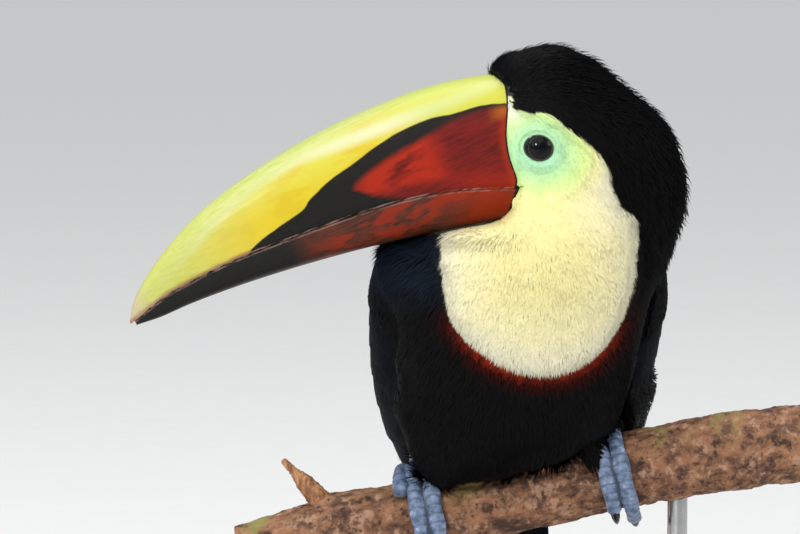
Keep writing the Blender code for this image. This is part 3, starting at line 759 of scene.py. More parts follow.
def bare_share(points):
    """1 on the bare face round the eye, fading into the plumage of the cheek."""
    axes = head_axes(points)
    share = smooth_step(face_reach(axes, 17.5, 20.0, 24.0, 16.5), 1.12, 0.86)
    return share * smooth_step(np.abs(axes[:, 1]), 6, 10) * smooth_step(light_depth(points), 0.3, 2.2)


def knots_at(knots, x):
    return smooth_curve([k[0] for k in knots], [k[1] for k in knots], x)


def coat_depth(points):
    """How deep the skin lies under the tips of the plumage, in millimetres."""
    light = smooth_step(light_depth(points), -1, 3)
    high = (points[:, 2] - PERCH_HEIGHT) / MM
    deep = 4.2 + 1.2 * smooth_step(high, 60, 10) - 0.8 * smooth_step(high, 120, 150)
    deep = deep * (1 - light) + 1.6 * light
    axes = head_axes(points)
    face = smooth_step(face_reach(axes, 17.5, 17.5, 19.0, 19.0), 2.1, 0.75)
    face *= smooth_step(np.abs(axes[:, 1]), 5, 10)
    deep = deep * (1 - face) + 0.5 * face
    near_bill = smooth_step(axes[:, 0], -34, 2) * smooth_step(high, 96, 114)
    deep = deep * (1 - 0.55 * near_bill)
    legs = on_legs(points)
    return deep * (1 - legs) + 0.75 * legs


BILL_PITCH = radians(24.0)
BILL_TIP = 159.5
BILL_TOP = (
    (-22, 23.0), (-8, 28.3), (8, 32.6), (23, 34.9), (40, 36.1), (57, 36.3), (75, 35.2), (92, 33.0),
    (111, 29.2), (125, 24.6), (138, 18.4), (148, 12.3), (155, 6.6), (BILL_TIP, 0.4),
)
BILL_EDGE = (
    (-22, -24.0), (3, -13.6), (15, -8.4), (30, -3.0), (45, 0.6), (60, 2.8), (78, 4.4), (95, 5.6),
    (110, 6.4), (127, 6.0), (144, 4.2), (BILL_TIP, -0.4),
)
BILL_UNDER = (
    (-22, -33.0), (11, -24.4), (26, -20.9), (57, -13.7), (78, -9.8), (99, -6.6), (120, -4.2),
    (136, -3.1), (148, -2.9), (157, -1.9),
)
BILL_WIDE = (
    (-22, 22.5), (0, 21.5), (20, 20.0), (60, 17.0), (98, 13.2), (127, 9.6), (146, 6.0), (155, 3.4),
    (BILL_TIP, 0.9),
)
BILL_WAYS = np.array(  # along, across and up, in the head's own axes
    ((cos(BILL_PITCH), 0, -sin(BILL_PITCH)), (0, 1, 0), (sin(BILL_PITCH), 0, cos(BILL_PITCH)))
)
CROWN_TRIM = 0.8
SLIM_SHIN = 4.6
SHOULDER_RISE = [(55, 0), (80, 0.03), (90, 0.20), (100, 0.30), (108, 0.22), (118, 0.10), (140, 0)]
BELLY_HEM = (
    (-60, 0), (-44, -3), (-34, -6), (-26, -7), (-18.5, -3.5), (-12, 0), (-5, 2), (3, 4.5), (11, 5),
    (19, 4.5), (29, 5), (38, 3), (46, 0), (60, 0),
)
CHIN_DROP = [(-60, 0), (-44, -2.5), (-34, -4.4), (-28, -4.6), (-16, -2.6), (-5, -0.6), (2, 0), (60, 0)]


def fuller_body(points):
    """Rounds out the shoulder under the bill, lifts the throat to meet it and slants the belly's hem."""
    axes = head_axes(points)
    across, behind, up = from_grip(points).T
    body = 1 - on_legs(points)
    moved = points.copy()
    swell = knots_at(SHOULDER_RISE, up) * smooth_step(behind, -44, -24) * smooth_step(behind, 44, 14)
    moved[:, 0] += np.minimum(0, across + 8) * swell * body * MM
    wide = np.abs(axes[:, 1])
    throat = smooth_step(wide, 7, 14) * smooth_step(wide, 24, 18) * smooth_step(axes[:, 0], -5, 1)
    under_jaw = smooth_step(axes[:, 0], 32, 21) * smooth_step(axes[:, 2], -37, -29)
    throat *= under_jaw * smooth_step(axes[:, 2], -18, -24)
    moved[:, 2] += 0.8 * throat * MM
    shelf = knots_at(CHIN_DROP, across) * smooth_step(up, 98, 107) * smooth_step(up, 124, 118)
    moved[:, 2] += shelf * smooth_step(behind, 8, -6) * MM
    hem = knots_at(BELLY_HEM, across) * smooth_step(up, 42, 18) * smooth_step(behind, 0, -12)
    moved[:, 2] += hem * body * MM
    thigh = smooth_step(across, -16, -30) * smooth_step(up, 6, 20) * smooth_step(up, 56, 36)
    moved[:, 0] -= 4.0 * thigh * smooth_step(behind, 14, 0) * body * MM
    foot, shin = shin_line("left")
    away = moved - GRIP - foot
    share = np.clip((away @ shin) / (shin @ shin), 0, 1)
    from_axis = away - np.outer(share, shin)
    size = np.linalg.norm(from_axis, axis=1) / MM
    pull = smooth_step(share, 0.95, 0.65) * smooth_step(size, 17, 12)
    pull *= smooth_step(moved[:, 2] - GRIP[2], 0.033, 0.026)
    gain = 1 - pull + pull * np.minimum(1, SLIM_SHIN / np.maximum(size, 0.1))
    return moved + (gain - 1)[:, None] * from_axis * (size > SLIM_SHIN)[:, None]


points = points_of(skin)
axes = head_axes(points)
trim = CROWN_TRIM * np.exp(-((axes[:, 0] + 36) ** 2 + (axes[:, 2] - 33) ** 2) / 260)
trim += 0.5 * smooth_step(axes[:, 0], -12, -4) * smooth_step(axes[:, 2], 18, 26)
SHOULDER_TRIMS = (  # depth in mm, then place and reach in x and in height over the perch
    (-2.4, 0.053, 0.018, 0.152, 0.018),
    (2.0, 0.062, 0.022, 0.104, 0.012),
)
for deep, x, reach_x, high, reach_high in SHOULDER_TRIMS:
    off = ((points[:, 0] - x) / reach_x) ** 2 + ((points[:, 2] - GRIP[2] - high) / reach_high) ** 2
    trim += deep * np.exp(-off)
set_points(skin, points - normals_of(skin) * (coat_depth(points) + trim)[:, None] * MM)
relax(skin, 0.5 * (1 - on_legs(points_of(skin))), 8)
set_points(skin, fuller_body(points_of(skin)))
relax(skin, 0.4 * (1 - on_legs(points_of(skin))), 4)
axes = head_axes(points_of(skin))
under_chin = smooth_step(np.abs(axes[:, 0] - 10), 26, 14) * smooth_step(np.abs(axes[:, 2] + 33), 13, 7)
relax(skin, 0.5 * under_chin * smooth_step(axes[:, 1], 2, 10), 14)
# The body runs out to a thin end under the wing and over the tail.
WING_END, TAIL_END = (0.058, 0.0145, 0.2594), (0.0, 0.084, 0.140)
for end in (WING_END, TAIL_END):
    relax(skin, 0.55 * smooth_step(distance_from(points_of(skin), end), 0.017, 0.009), 60)
TUCKS = (  # place, shift, reach
    ((0.050, 0.026, 0.260), (-0.0024, 0.0008, -0.0034), 0.013),
    ((0.060, 0.000, 0.252), (-0.0036, 0.0, -0.0004), 0.017),
)
for place, shift, reach in TUCKS:
    points = points_of(skin)
    near = smooth_step(distance_from(points, place), reach, 0.4 * reach)
    set_points(skin, points + near[:, None] * np.array(shift))
TAIL_BED, TAIL_UP = np.array((0, 0.044, 0.193)), np.array((0, 0.839, 0.545))
points = points_of(skin)
near = smooth_step(distance_from(points, (0, 0.086, 0.137)), 0.022, 0.009)
height = (points - TAIL_BED) @ TAIL_UP
excess = np.maximum(height - 0.0002, 0) + 0.85 * np.minimum(height + 0.0022, 0)
set_points(skin, points - (near * excess)[:, None] * TAIL_UP)

# The bare skin of the face laps forward over the bill's base, furthest in front of the eye.
FACE_LAP = (
    (-40, -1.0), (-25, 0.0), (-19, 0.9), (-14, 1.3), (-10.6, 0.4), (-7.4, 1.0), (-4.6, 1.8),
    (-1.5, 2.5), (2.5, 2.9), (7.7, 2.75), (14.4, 1.45), (18.4, 0.6), (23.5, 0), (40, 0),
)
BASE_POINT = {"upper": np.array((0.3, 0, 20)), "lower": np.array((0.0, 0, -26))}
BASE_LEAN = {"upper": radians(-5.5), "lower": radians(20)}
MOUTH_CORNER = -12.5


def from_base_line(axes, half):
    """How far forward of the bill's base line, in millimetres, each place on a half of the bill lies."""
    base_way = np.array((cos(BASE_LEAN[half]), 0, sin(BASE_LEAN[half])))
    return (axes - BASE_POINT[half]) @ base_way - knots_at(FACE_LAP, axes[:, 2])


def bill_half_width(axes):
    """The bill's half width at each height, in millimetres."""
    in_bill = axes @ BILL_WAYS.T
    top, edge, wide = (knots_at(knots, in_bill[:, 0]) for knots in (BILL_TOP, BILL_EDGE, BILL_WIDE))
    under = knots_at(BILL_UNDER, in_bill[:, 0])
    over = np.clip((in_bill[:, 2] - edge) / (top - edge), 0, 1) ** (1 / 0.86)
    below = np.clip((edge - in_bill[:, 2]) / (edge - under), 0, 1) ** (1 / 0.9)
    upper = wide * (1 - over**2) ** 0.40 * (0.90 + 0.10 * over)
    return np.where(in_bill[:, 2] > edge, upper, 0.90 * wide * (1 - below**2) ** 0.36)


axes = head_axes(points_of(skin))
sided = smooth_step(np.abs(axes[:, 1]), 6, 12)
reach_on = np.maximum(0, knots_at(FACE_LAP, axes[:, 2])) * smooth_step(axes[:, 2], -24, -14)
reach_on *= smooth_step(axes[:, 2], 28, 20)
axes[:, 0] += (reach_on + 0.9) * smooth_step(axes[:, 0], -9, -1.5) * sided * smooth_step(axes[:, 2], -22, -10)
set_points(skin, from_head_axes(axes))
base_strip = (np.abs(axes[:, 0]) < 7) & (np.abs(axes[:, 1]) > 9) & (np.abs(axes[:, 2] - 2) < 24)
edit_points(skin, base_strip)
bpy.ops.mesh.subdivide(number_cuts=2)
bpy.ops.object.mode_set(mode="OBJECT")
axes = head_axes(points_of(skin))
line = np.where(axes[:, 2] > MOUTH_CORNER, from_base_line(axes, "upper"), from_base_line(axes, "lower"))
close_by = smooth_step(line, -6.5, -1.5) * smooth_step(np.abs(axes[:, 1]), 8, 11)
close_by *= smooth_step(axes[:, 2], -19, -15) * smooth_step(axes[:, 2], 25, 21) * (line < 4)
bill_wide = bill_half_width(axes)
lap = bill_wide + 0.40 - 2.2 * smooth_step(line, -0.25, 0.45)
wide = np.abs(axes[:, 1])
behind_line = np.maximum(wide, lap * close_by + wide * (1 - close_by))
wide = np.where(line < -0.25, behind_line, wide + (lap - wide) * close_by)
axes[:, 1] = np.sign(axes[:, 1]) * wide
set_points(skin, from_head_axes(axes))

for side in SIDES.values():
    level, high, out, *_ = around_eye(head_axes(points_of(skin)), side)
    edit_points(skin, (np.hypot(level, high) < 12.5) & (out > -1))
    bpy.ops.mesh.subdivide(number_cuts=3)
    bpy.ops.object.mode_set(mode="OBJECT")


def sheet_terms(a, b):
    """The terms of a gently bent sheet, which is fitted to the cheek round the eye."""
    return np.stack([np.ones_like(a), a, b, a * a, a * b, b * b], 1)


for side in SIDES.values():
    axes = head_axes(points_of(skin))
    level, high, out, *_, out_way = around_eye(axes, side)
    flat_reach = np.hypot(level, high)
    cheek = (flat_reach > 8.3) & (flat_reach < 12.0) & (out > -1)
    sheet, *_ = np.linalg.lstsq(sheet_terms(level[cheek], high[cheek]), out[cheek], rcond=None)
    own = (flat_reach < 11.0) & (out > -1)
    reach = lid_reach(level[own], high[own])
    face_out = sheet_terms(level[own], high[own]) @ sheet
    ball = np.sqrt(np.maximum(0.5, EYE_RADIUS**2 - flat_reach[own] ** 2))
    inside = smooth_step(reach, LID_REACH + 0.1, LID_REACH - 0.55)
    lid_top = ball + 0.42
    rim, ditch, second = (
        np.exp(-(((reach - LID_REACH - at) / wide) ** 2))
        for at, wide in ((0.45, 0.55), (1.55, 0.45), (2.35, 0.5))
    )
    hug = smooth_step(reach, LID_REACH + 2.6, LID_REACH + 0.3)
    shape = face_out * (1 - hug) + lid_top * hug
    shape += 0.10 * rim - 0.24 * ditch + 0.10 * second
    shape = shape * (1 - inside) + (ball - 0.8) * inside
    keep = smooth_step(flat_reach[own], 10.9, 9.3)
    shape = out[own] * (1 - keep) + shape * keep
    axes[own] += np.outer(shape - out[own], out_way)
    set_points(skin, from_head_axes(axes))


def lid_distance(axes):
    """Distance from the nearer eye's middle in units of the lid's edge."""
    return np.minimum(
        *[lid_reach(*around_eye(axes, side)[:2]) + 30 * (axes[:, 1] * side < 0) for side in (1, -1)]
    )


def plumage_colour(points):
    """Markings and a painted shoulder sheen as a colour per point: one rule for the skin and every tuft."""
    light = light_depth(points)
    front = from_grip(points)
    axes = head_axes(points)
    stray = 0.5 * ripples(points, 0.006, 5) + 0.35 * ripples(points, 0.0022, 6)
    colour = np.tile(np.array((0.0030, 0.0031, 0.0036)), (len(points), 1))
    # A bluish tint on the black plumage of the bird's right shoulder is a painted sheen.
    painted_shoulder_sheen = smooth_step(front[:, 2], 74, 92) * smooth_step(front[:, 0], -14, -36)
    colour += painted_shoulder_sheen[:, None] * (0.004, 0.008, 0.016)

    def paint(share, shade):
        nonlocal colour
        share = np.clip(share, 0, 1)[:, None]
        colour = colour * (1 - share) + np.asarray(shade) * share

    low_band = smooth_step(front[:, 2], 84, 70) * smooth_step(front[:, 1], -8, -16)
    below = np.maximum(0, -light - 0.8 * stray)
    side_dim = smooth_step(np.abs(front[:, 0] - 8), 40, 20)
    middle_dim = 1 - 0.55 * np.exp(-(((front[:, 0] - 12) / 9) ** 2))
    paint(smooth_step(below, 10.5, 1.5) * low_band * (0.35 + 0.65 * side_dim), (0.050, 0.0036, 0.0008))
    streaky = smooth_step(ripples(points, 0.005, 61), -0.6, 0.6)
    red_share = smooth_step(below, 5.6, 0.6) * low_band * side_dim * middle_dim * (0.35 + 0.65 * streaky)
    paint(red_share, (0.27, 0.017, 0.0012))
    hind, topward = front @ np.array((0, 0.62, -0.79)), front @ np.array((0, 0.79, 0.62))
    paint(smooth_step(hind + stray, 26, 29) * smooth_step(topward, 46, 49), (0.80, 0.78, 0.70))
    paint(smooth_step(hind + stray, 20, 24) * smooth_step(topward, 45, 42), (0.42, 0.020, 0.008))

    inside = smooth_step(light + 0.5 * stray, -0.5, 0.9)
    paint(inside, (0.73, 0.70, 0.53))
    rim_wide = 11.0 + 8.0 * smooth_step(front[:, 2], 84, 60) + 1.5 * stray
    paint(inside * smooth_step(light, -2.5, rim_wide), (0.90, 0.825, 0.47))
    paint(inside * smooth_step(light, 6, 26) * smooth_step(front[:, 2], 62, 96), (0.905, 0.815, 0.365))
    outer = face_reach(axes, 17.5, 17.5, 19.0, 13.5)
    near_face = smooth_step(np.abs(axes[:, 1]), 6, 10) * inside
    paint(near_face * smooth_step(outer, 1.7, 1.15), (0.85, 0.85, 0.36))
    paint(near_face * smooth_step(outer, 1.35, 0.85), (0.60, 0.79, 0.28))
    paint(near_face * smooth_step(outer, 1.0, 0.45), (0.42, 0.72, 0.37))
    eye_line = lid_distance(axes)
    below_eye = smooth_step(axes[:, 2], 3, -5)
    paint(smooth_step(eye_line, 11.5, 6.5) * (0.25 + 0.45 * below_eye) * near_face, (0.38, 0.72, 0.50))
    pale_front = smooth_step(axes[:, 0], -6.5, -1.5) * smooth_step(axes[:, 2], 10, 19)
    paint(pale_front * smooth_step(light, 0, 1), (0.80, 0.83, 0.72))
    paint(smooth_step(eye_line, LID_REACH + 0.75, LID_REACH + 0.45), (0.014, 0.015, 0.017))
    return colour


def write_colour(piece, colours):
    layer = piece.data.attributes.new("marking_and_sheen", "FLOAT_COLOR", "POINT")
    solid = np.column_stack([colours, np.ones(len(colours))])
    layer.data.foreach_set("color", solid.astype(np.float32).ravel())


def marking_of(tree):
    return add_node(tree, "ShaderNodeAttribute", attribute_name="marking_and_sheen").outputs["Color"]


def glow_through(shader, share, radius, scale):
    """Lets some light in below the surface: its share, its reach for red, green and blue, and their scale."""
    shader.inputs["Subsurface Weight"].default_value = share
    shader.inputs["Subsurface Radius"].default_value = radius
    shader.inputs["Subsurface Scale"].default_value = scale


points = points_of(skin)
write_colour(skin, plumage_colour(points))
write_value(skin, "leg", on_legs(points))
skin_finish, tree, shader = new_finish("bird_skin", Roughness=0.5)
marking_and_sheen = marking_of(tree)
pebble = noise(tree, place_of(tree), 900.0, 3.0)
blush = noise(tree, place_of(tree), 160.0, 3.0)
tone = between(tree, step(tree, blush, 0.3, 0.7), (0.90, 0.92, 0.88), (1.06, 1.05, 1.04))
skin_colour = between(tree, 1.0, marking_and_sheen, tone, "MULTIPLY")
# On the feet the skin shows only in the gaps between the toes and the shin, and is painted dark there as
# shade.
skin_colour = between(tree, value_of(tree, "leg"), skin_colour, (0.030, 0.042, 0.062))
wire(tree, shader, skin_colour, (pebble, 0.3, 0.32), (pebble, 0.00016))
glow_through(shader, 0.08, (0.6, 0.5, 0.35), 0.002)
finish_piece(skin, "skin", skin_finish, FLESH)
bpy.ops.object.mode_set(mode="EDIT")
bpy.ops.mesh.select_all(action="SELECT")
bpy.ops.uv.smart_project(angle_limit=radians(66), island_margin=0.003)
bpy.ops.object.mode_set(mode="OBJECT")
skin.data.uv_layers.active.name = "OFBake"


# The eyes are glass-clear, bulging balls, almost black: a dark brown iris with a fine grey ring round it, and
# a wet surface. Each sits in the ring of its lid.
def eyeball_shape(side):
    *_, level_way, high_way, out_way = around_eye(np.zeros((1, 3)), side)
    middle = EYE_PLACE * (1, side, 1)

    def shape(around, along):
        tilt = pi * np.clip(along, 0.0, 1.0)
        bulge = EYE_RADIUS + 0.35 * np.exp(-((tilt / 0.5) ** 2))
        turn = 2 * pi * around
        ring = np.sin(tilt) * bulge
        axes = middle + np.outer(ring * np.cos(turn), level_way) + np.outer(ring * np.sin(turn), high_way)
        axes += np.outer(np.cos(tilt) * bulge, out_way)
        return from_head_axes(axes), {"from_pupil": ring}

    return shape


eye_finish, tree, shader = new_finish("wet_eye", Roughness=0.05, Specular_IOR_Level=0.15)
from_pupil = value_of(tree, "from_pupil")
fibres = noise(tree, place_of(tree), 2200.0, 2.0)
iris = between(tree, fibres, (0.0045, 0.0042, 0.0040), (0.0085, 0.0080, 0.0072))
eye_colour = between(tree, step(tree, from_pupil, 2.4, 2.6), (0.0015, 0.0022, 0.0055), iris)
ring = times(tree, step(tree, from_pupil, 4.25, 4.40), step(tree, from_pupil, 4.80, 4.60))
ring = times(tree, ring, step(tree, fibres, 0.42, 0.56))
eye_colour = between(tree, ring, eye_colour, (0.060, 0.060, 0.055))
eye_colour = between(tree, step(tree, from_pupil, 4.8, 5.0), eye_colour, (0.010, 0.010, 0.011))
wire(tree, shader, eye_colour)
for side, sign in SIDES.items():
    eyeball = wrapped_sheet(64, 48, eyeball_shape(sign))
    finish_piece(eyeball, f"eyeball_{side}", eye_finish, [f"eye_{side}"])


# The bill is a thin shell of horn over light bone, in two halves that part along a finely toothed edge.
# The upper is keeled and hooked, and each half has its own bands of colour.
ROOT_HIDDEN = 4.0
BILL_CAP = 0.03  # of the sheet's length, at each end, drawn in to close it
BILL_PLACES = ("along_bill", "across_bill", "up_bill", "over_edge", "from_base")


def bill_half(section, end, half):
    """One half: lines run from its slanting base to its tip, through sections at each distance."""
    base_way = np.array((cos(BASE_LEAN[half]), 0, sin(BASE_LEAN[half])))

    def shape(around, along):
        share = np.clip((along - BILL_CAP) / (1 - 2 * BILL_CAP), 0, 1)
        start = np.full(len(around), -10.0)
        for _ in range(12):
            slip = (section(start, around) @ BILL_WAYS - BASE_POINT[half]) @ base_way + ROOT_HIDDEN
            start = np.clip(start - slip, -21.5, 30)
        x = start + (end - start) * (1 - (1 - share) ** 1.25)
        points = section(x, around)
        cap = np.clip(along / BILL_CAP, 0, 1)[:, None]
        middle = section(start, np.full(len(around), 0.25)) * (1, 0, 1) - (0, 0, 12)
        points = points * cap + middle * (1 - cap)
        tip_cap = np.clip((1 - along) / BILL_CAP, 0, 1)[:, None]
        tip = section(np.full(len(around), end), np.full(len(around), 0.25)) * (1, 0, 1)
        points = points * tip_cap + (tip - (0, 0, 0.5)) * (1 - tip_cap)
        in_head = points @ BILL_WAYS
        over_edge = points[:, 2] - knots_at(BILL_EDGE, points[:, 0])
        values = (*points.T, over_edge, from_base_line(in_head, half))
        return from_head_axes(in_head), dict(zip(BILL_PLACES, values))

    return shape


def upper_section(x, around):
    """Round the half from one biting edge over the keel to the other, then back along the palate."""
    top, edge, wide = knots_at(BILL_TOP, x), knots_at(BILL_EDGE, x), knots_at(BILL_WIDE, x)
    over = np.clip(around / 0.5, 0, 1)
    turn = pi * over
    c, s = np.cos(turn), np.sin(turn)
    across = np.sign(c) * np.abs(c) ** 0.80 * wide * (0.90 + 0.10 * s)
    up = edge + (top - edge) * s**0.86
    back = np.clip((around - 0.5) / 0.5, 0, 1)
    palate = around > 0.5
    across = np.where(palate, -0.90 * wide * (1 - 2 * back), across)
    up = np.where(palate, edge + 0.6 * np.sin(pi * back) * wide / 20, up)
    near_edge = np.where(palate, np.minimum(back, 1 - back) * 6, (up - edge) / 3.0)
    near_edge = np.exp(-(near_edge**2))
    teeth = np.sin(x * 0.92 + 1.4 * np.sin(x * 0.21)) * smooth_step(x, 48, 90)
    nibbled = 0.22 * np.sin(x * 2.9 + 2 * np.sin(x * 0.53)) * smooth_step(x, 60, 110)
    up = up + near_edge * (0.20 * teeth + 0.6 * nibbled) * smooth_step(x, 157, 148)
    return np.stack([x, across, up], 1)


def lower_section(x, around):
    edge = knots_at(BILL_EDGE, x) - 0.20
    under = knots_at(BILL_UNDER, x)
    wide = 0.90 * knots_at(BILL_WIDE, x)
    turn = pi * np.clip(around / 0.5, 0, 1)
    c, s = np.cos(turn), np.sin(turn)
    across = np.sign(c) * np.abs(c) ** 0.72 * wide
    up = edge - (edge - under) * s**0.9
    back = np.clip((around - 0.5) / 0.5, 0, 1)
    floor_of_mouth = around > 0.5
    across = np.where(floor_of_mouth, -wide * (1 - 2 * back), across)
    up = np.where(floor_of_mouth, edge - 0.8 * np.sin(pi * back) * wide / 20, up)
    return np.stack([x, across, up], 1)


def band_edge(tree, along, knots, lowest=-30.0, highest=40.0):
    """A curve of height against distance along the bill, as one node."""
    share = sums(tree, "DIVIDE", plus(tree, along, 25.0), 190.0)
    curve = add_node(tree, "ShaderNodeFloatCurve", {"Value": share})
    line = curve.mapping.curves[0]
    while len(line.points) < len(knots):
        line.points.new(0.5, 0.5)
    for point, (x, height) in zip(line.points, knots):
        point.location = ((x + 25.0) / 190.0, (height - lowest) / (highest - lowest))
    curve.mapping.update()
    return sums(tree, "MULTIPLY_ADD", curve.outputs[0], highest - lowest, lowest)


def bill_finish(name):
    """A horn finish, its places on the bill, and its streaks, clouds and scratches."""
    finish, tree, shader = new_finish(
        name, Roughness=0.3, Specular_IOR_Level=0.14, Coat_Weight=0.05, Coat_Roughness=0.12
    )
    places = [value_of(tree, place) for place in BILL_PLACES]
    here = add_node(tree, "ShaderNodeCombineXYZ", dict(enumerate(places[:3]))).outputs[0]
    streaks = noise(tree, stretched(tree, here, (0.12, 1.0, 1.0)), 0.9, 5.0, 0.6)
    clouds = noise(tree, stretched(tree, here, (0.4, 1, 1)), 0.16, 3.0)
    scratches = noise(tree, stretched(tree, here, (0.5, 0.2, 3.0)), 3.0, 4.0, 0.7)
    return finish, tree, shader, places, streaks, clouds, scratches


upper_finish, tree, shader, places, streaks, clouds, scratches = bill_finish("upper_bill_horn")
along, across, up, over_edge, from_base = places
wander = sums(tree, "MULTIPLY_ADD", clouds, 3.0, -1.5)
fray = sums(tree, "MULTIPLY_ADD", streaks, 1.6, -0.8)
height = plus(tree, up, fray)
YELLOW_LOW = (
    (-25, 12.6), (-7, 17.8), (2, 21.0), (13.6, 22.9), (23.3, 24.9), (34, 25.3), (44.7, 24.3),
    (57, 21.7), (68, 19.6), (74, 17.5), (78, 16.0), (81.5, 13.7), (93, 11.3), (104.8, 8.2), (111, 4.0),
    (165, -20),
)
# Heights of a paler band along the upper side of the bill: partly the horn's own paler stripe, partly a
# painted highlight.
PALE_AND_SHINE_BAND = (
    (-25, 27), (0, 27), (34, 29), (52, 30.2), (62, 31.0), (74, 32.0), (83, 31.7), (94, 30.2),
    (110, 25.5), (125, 19), (140, 12), (165, 2),
)
RED_TOP = (
    (-25, 12.5), (-7, 17.8), (0, 19.8), (4, 20.6), (14.8, 22.1), (25.4, 21.4), (31.3, 20.6),
    (42.1, 19.3), (53.4, 17.6), (60.7, 14.6), (65, 10.0), (69, 2.0), (165, -25),
)
RED_FOOT = [(-25, -30), (34, -30), (39, -6), (45, 0.0), (53.5, 5.4), (61.4, 12.0), (67, 16), (165, 16)]
dark_low = band_edge(tree, along, YELLOW_LOW)
red_top = band_edge(tree, along, RED_TOP)
red_foot = band_edge(tree, along, RED_FOOT)
keel = step(tree, sums(tree, "ABSOLUTE", across), 13.0, 5.0)
bright = between(tree, step(tree, up, 15.0, 30.0), (0.67, 0.51, 0.018), (0.62, 0.57, 0.060))
bright = between(tree, step(tree, clouds, 0.44, 0.66), bright, (0.63, 0.46, 0.018))
# The paler band is partly the horn's own colour and partly a painted highlight.
shine = sums(tree, "ABSOLUTE", minus(tree, up, band_edge(tree, along, PALE_AND_SHINE_BAND)))
shine = times(tree, step(tree, plus(tree, shine, fray), 4.4, 0.3), 0.9)
bright = between(tree, shine, bright, (0.68, 0.68, 0.42))
lime = between(tree, step(tree, streaks, 0.35, 0.65), (0.45, 0.52, 0.115), (0.55, 0.575, 0.21))
bright = between(tree, keel, bright, lime)
far = step(tree, along, 95.0, 150.0)
bright = between(tree, times(tree, far, 0.55), bright, (0.49, 0.50, 0.10))
near_face = step(tree, along, 45.0, 15.0)
bright = between(tree, times(tree, near_face, 0.6), bright, (0.50, 0.56, 0.085))
bright = between(tree, step(tree, along, 146.0, 158.0), bright, (0.50, 0.42, 0.27))
edge_tan = times(tree, step(tree, plus(tree, over_edge, fray), 2.4, 0.2), step(tree, along, 95.0, 108.0))
bright = between(tree, edge_tan, bright, (0.30, 0.165, 0.075))
wine = between(tree, step(tree, streaks, 0.3, 0.7), (0.085, 0.0040, 0.0022), (0.190, 0.0075, 0.0045))
hot_place = times(tree, step(tree, along, 68.0, 52.0), step(tree, along, 20.0, 32.0))
hot_place = times(tree, hot_place, step(tree, clouds, 0.32, 0.50))
hot_place = times(tree, hot_place, step(tree, over_edge, 3.0, 8.0))
red = between(tree, hot_place, wine, (0.36, 0.0160, 0.0020))
low_base = times(tree, step(tree, over_edge, 13.0, 2.0), step(tree, along, 34.0, 12.0))
red = between(tree, times(tree, low_base, 0.85), red, (0.27, 0.0105, 0.0015))
rim_glow = step(tree, from_base, 4.5, 0.8)
red = between(tree, times(tree, rim_glow, 0.7), red, (0.34, 0.022, 0.002))
corner = times(tree, step(tree, from_base, 9.0, 1.0), step(tree, up, 12.0, 16.5))
red = between(tree, times(tree, corner, 0.8), red, (0.42, 0.11, 0.006))
black = between(tree, step(tree, scratches, 0.45, 0.7), (0.0045, 0.0045, 0.0035), (0.013, 0.012, 0.009))
height = plus(tree, height, wander)
dark = between(tree, step(tree, minus(tree, height, red_top), -3.2, 0.6), red, black)
dark = between(tree, step(tree, minus(tree, height, red_foot), 2.6, -0.8), dark, black)
over_dark = minus(tree, sums(tree, "MULTIPLY_ADD", fray, 0.3, up), dark_low)
horn = between(tree, step(tree, over_dark, -0.35, 0.35), dark, bright)
from_lip = sums(tree, "ABSOLUTE", plus(tree, over_edge, -0.35))
pale_lip = times(tree, step(tree, from_lip, 0.45, 0.2), step(tree, streaks, 0.42, 0.58))
horn = between(tree, times(tree, pale_lip, 0.8), horn, (0.36, 0.21, 0.18))
base_line = step(tree, sums(tree, "MULTIPLY_ADD", fray, 0.2, from_base), 0.85, 0.45)
horn = between(tree, base_line, horn, (0.008, 0.008, 0.008))
wire(tree, shader, horn, (scratches, 0.22, 0.20), (plus(tree, scratches, streaks), 0.00012))
upper = wrapped_sheet(150, 270, bill_half(upper_section, BILL_TIP, "upper"))
finish_piece(upper, "upper_bill", upper_finish, ["bill_upper"])

lower_finish, tree, shader, places, streaks, clouds, scratches = bill_finish("lower_bill_horn")
along, _, _, over_edge, from_base = places
fray = sums(tree, "MULTIPLY_ADD", streaks, 10.0, -5.0)
reach = plus(tree, along, fray)
brown = between(tree, step(tree, streaks, 0.35, 0.65), (0.040, 0.017, 0.009), (0.110, 0.026, 0.014))
black = between(tree, step(tree, scratches, 0.45, 0.7), (0.006, 0.006, 0.005), (0.022, 0.021, 0.018))
ember = between(tree, clouds, (0.16, 0.0085, 0.0015), (0.30, 0.026, 0.003))
horn = between(tree, step(tree, reach, 78.0, 96.0), brown, black)
glow = times(tree, step(tree, clouds, 0.46, 0.58), step(tree, reach, 92.0, 70.0))
horn = between(tree, glow, horn, (0.23, 0.020, 0.005))
horn = between(tree, step(tree, reach, 40.0, 14.0), horn, ember)
pale_lip = times(tree, step(tree, over_edge, -1.1, -0.7), step(tree, streaks, 0.40, 0.56))
horn = between(tree, times(tree, pale_lip, 0.4), horn, (0.30, 0.20, 0.16))
base_line = step(tree, from_base, 1.5, 1.0)
horn = between(tree, base_line, horn, (0.008, 0.008, 0.008))
wire(tree, shader, horn, (scratches, 0.25, 0.26), (plus(tree, scratches, streaks), 0.00012))
lower = wrapped_sheet(110, 200, bill_half(lower_section, BILL_TIP - 2, "lower"))
finish_piece(lower, "lower_bill", lower_finish, ["bill_lower"])


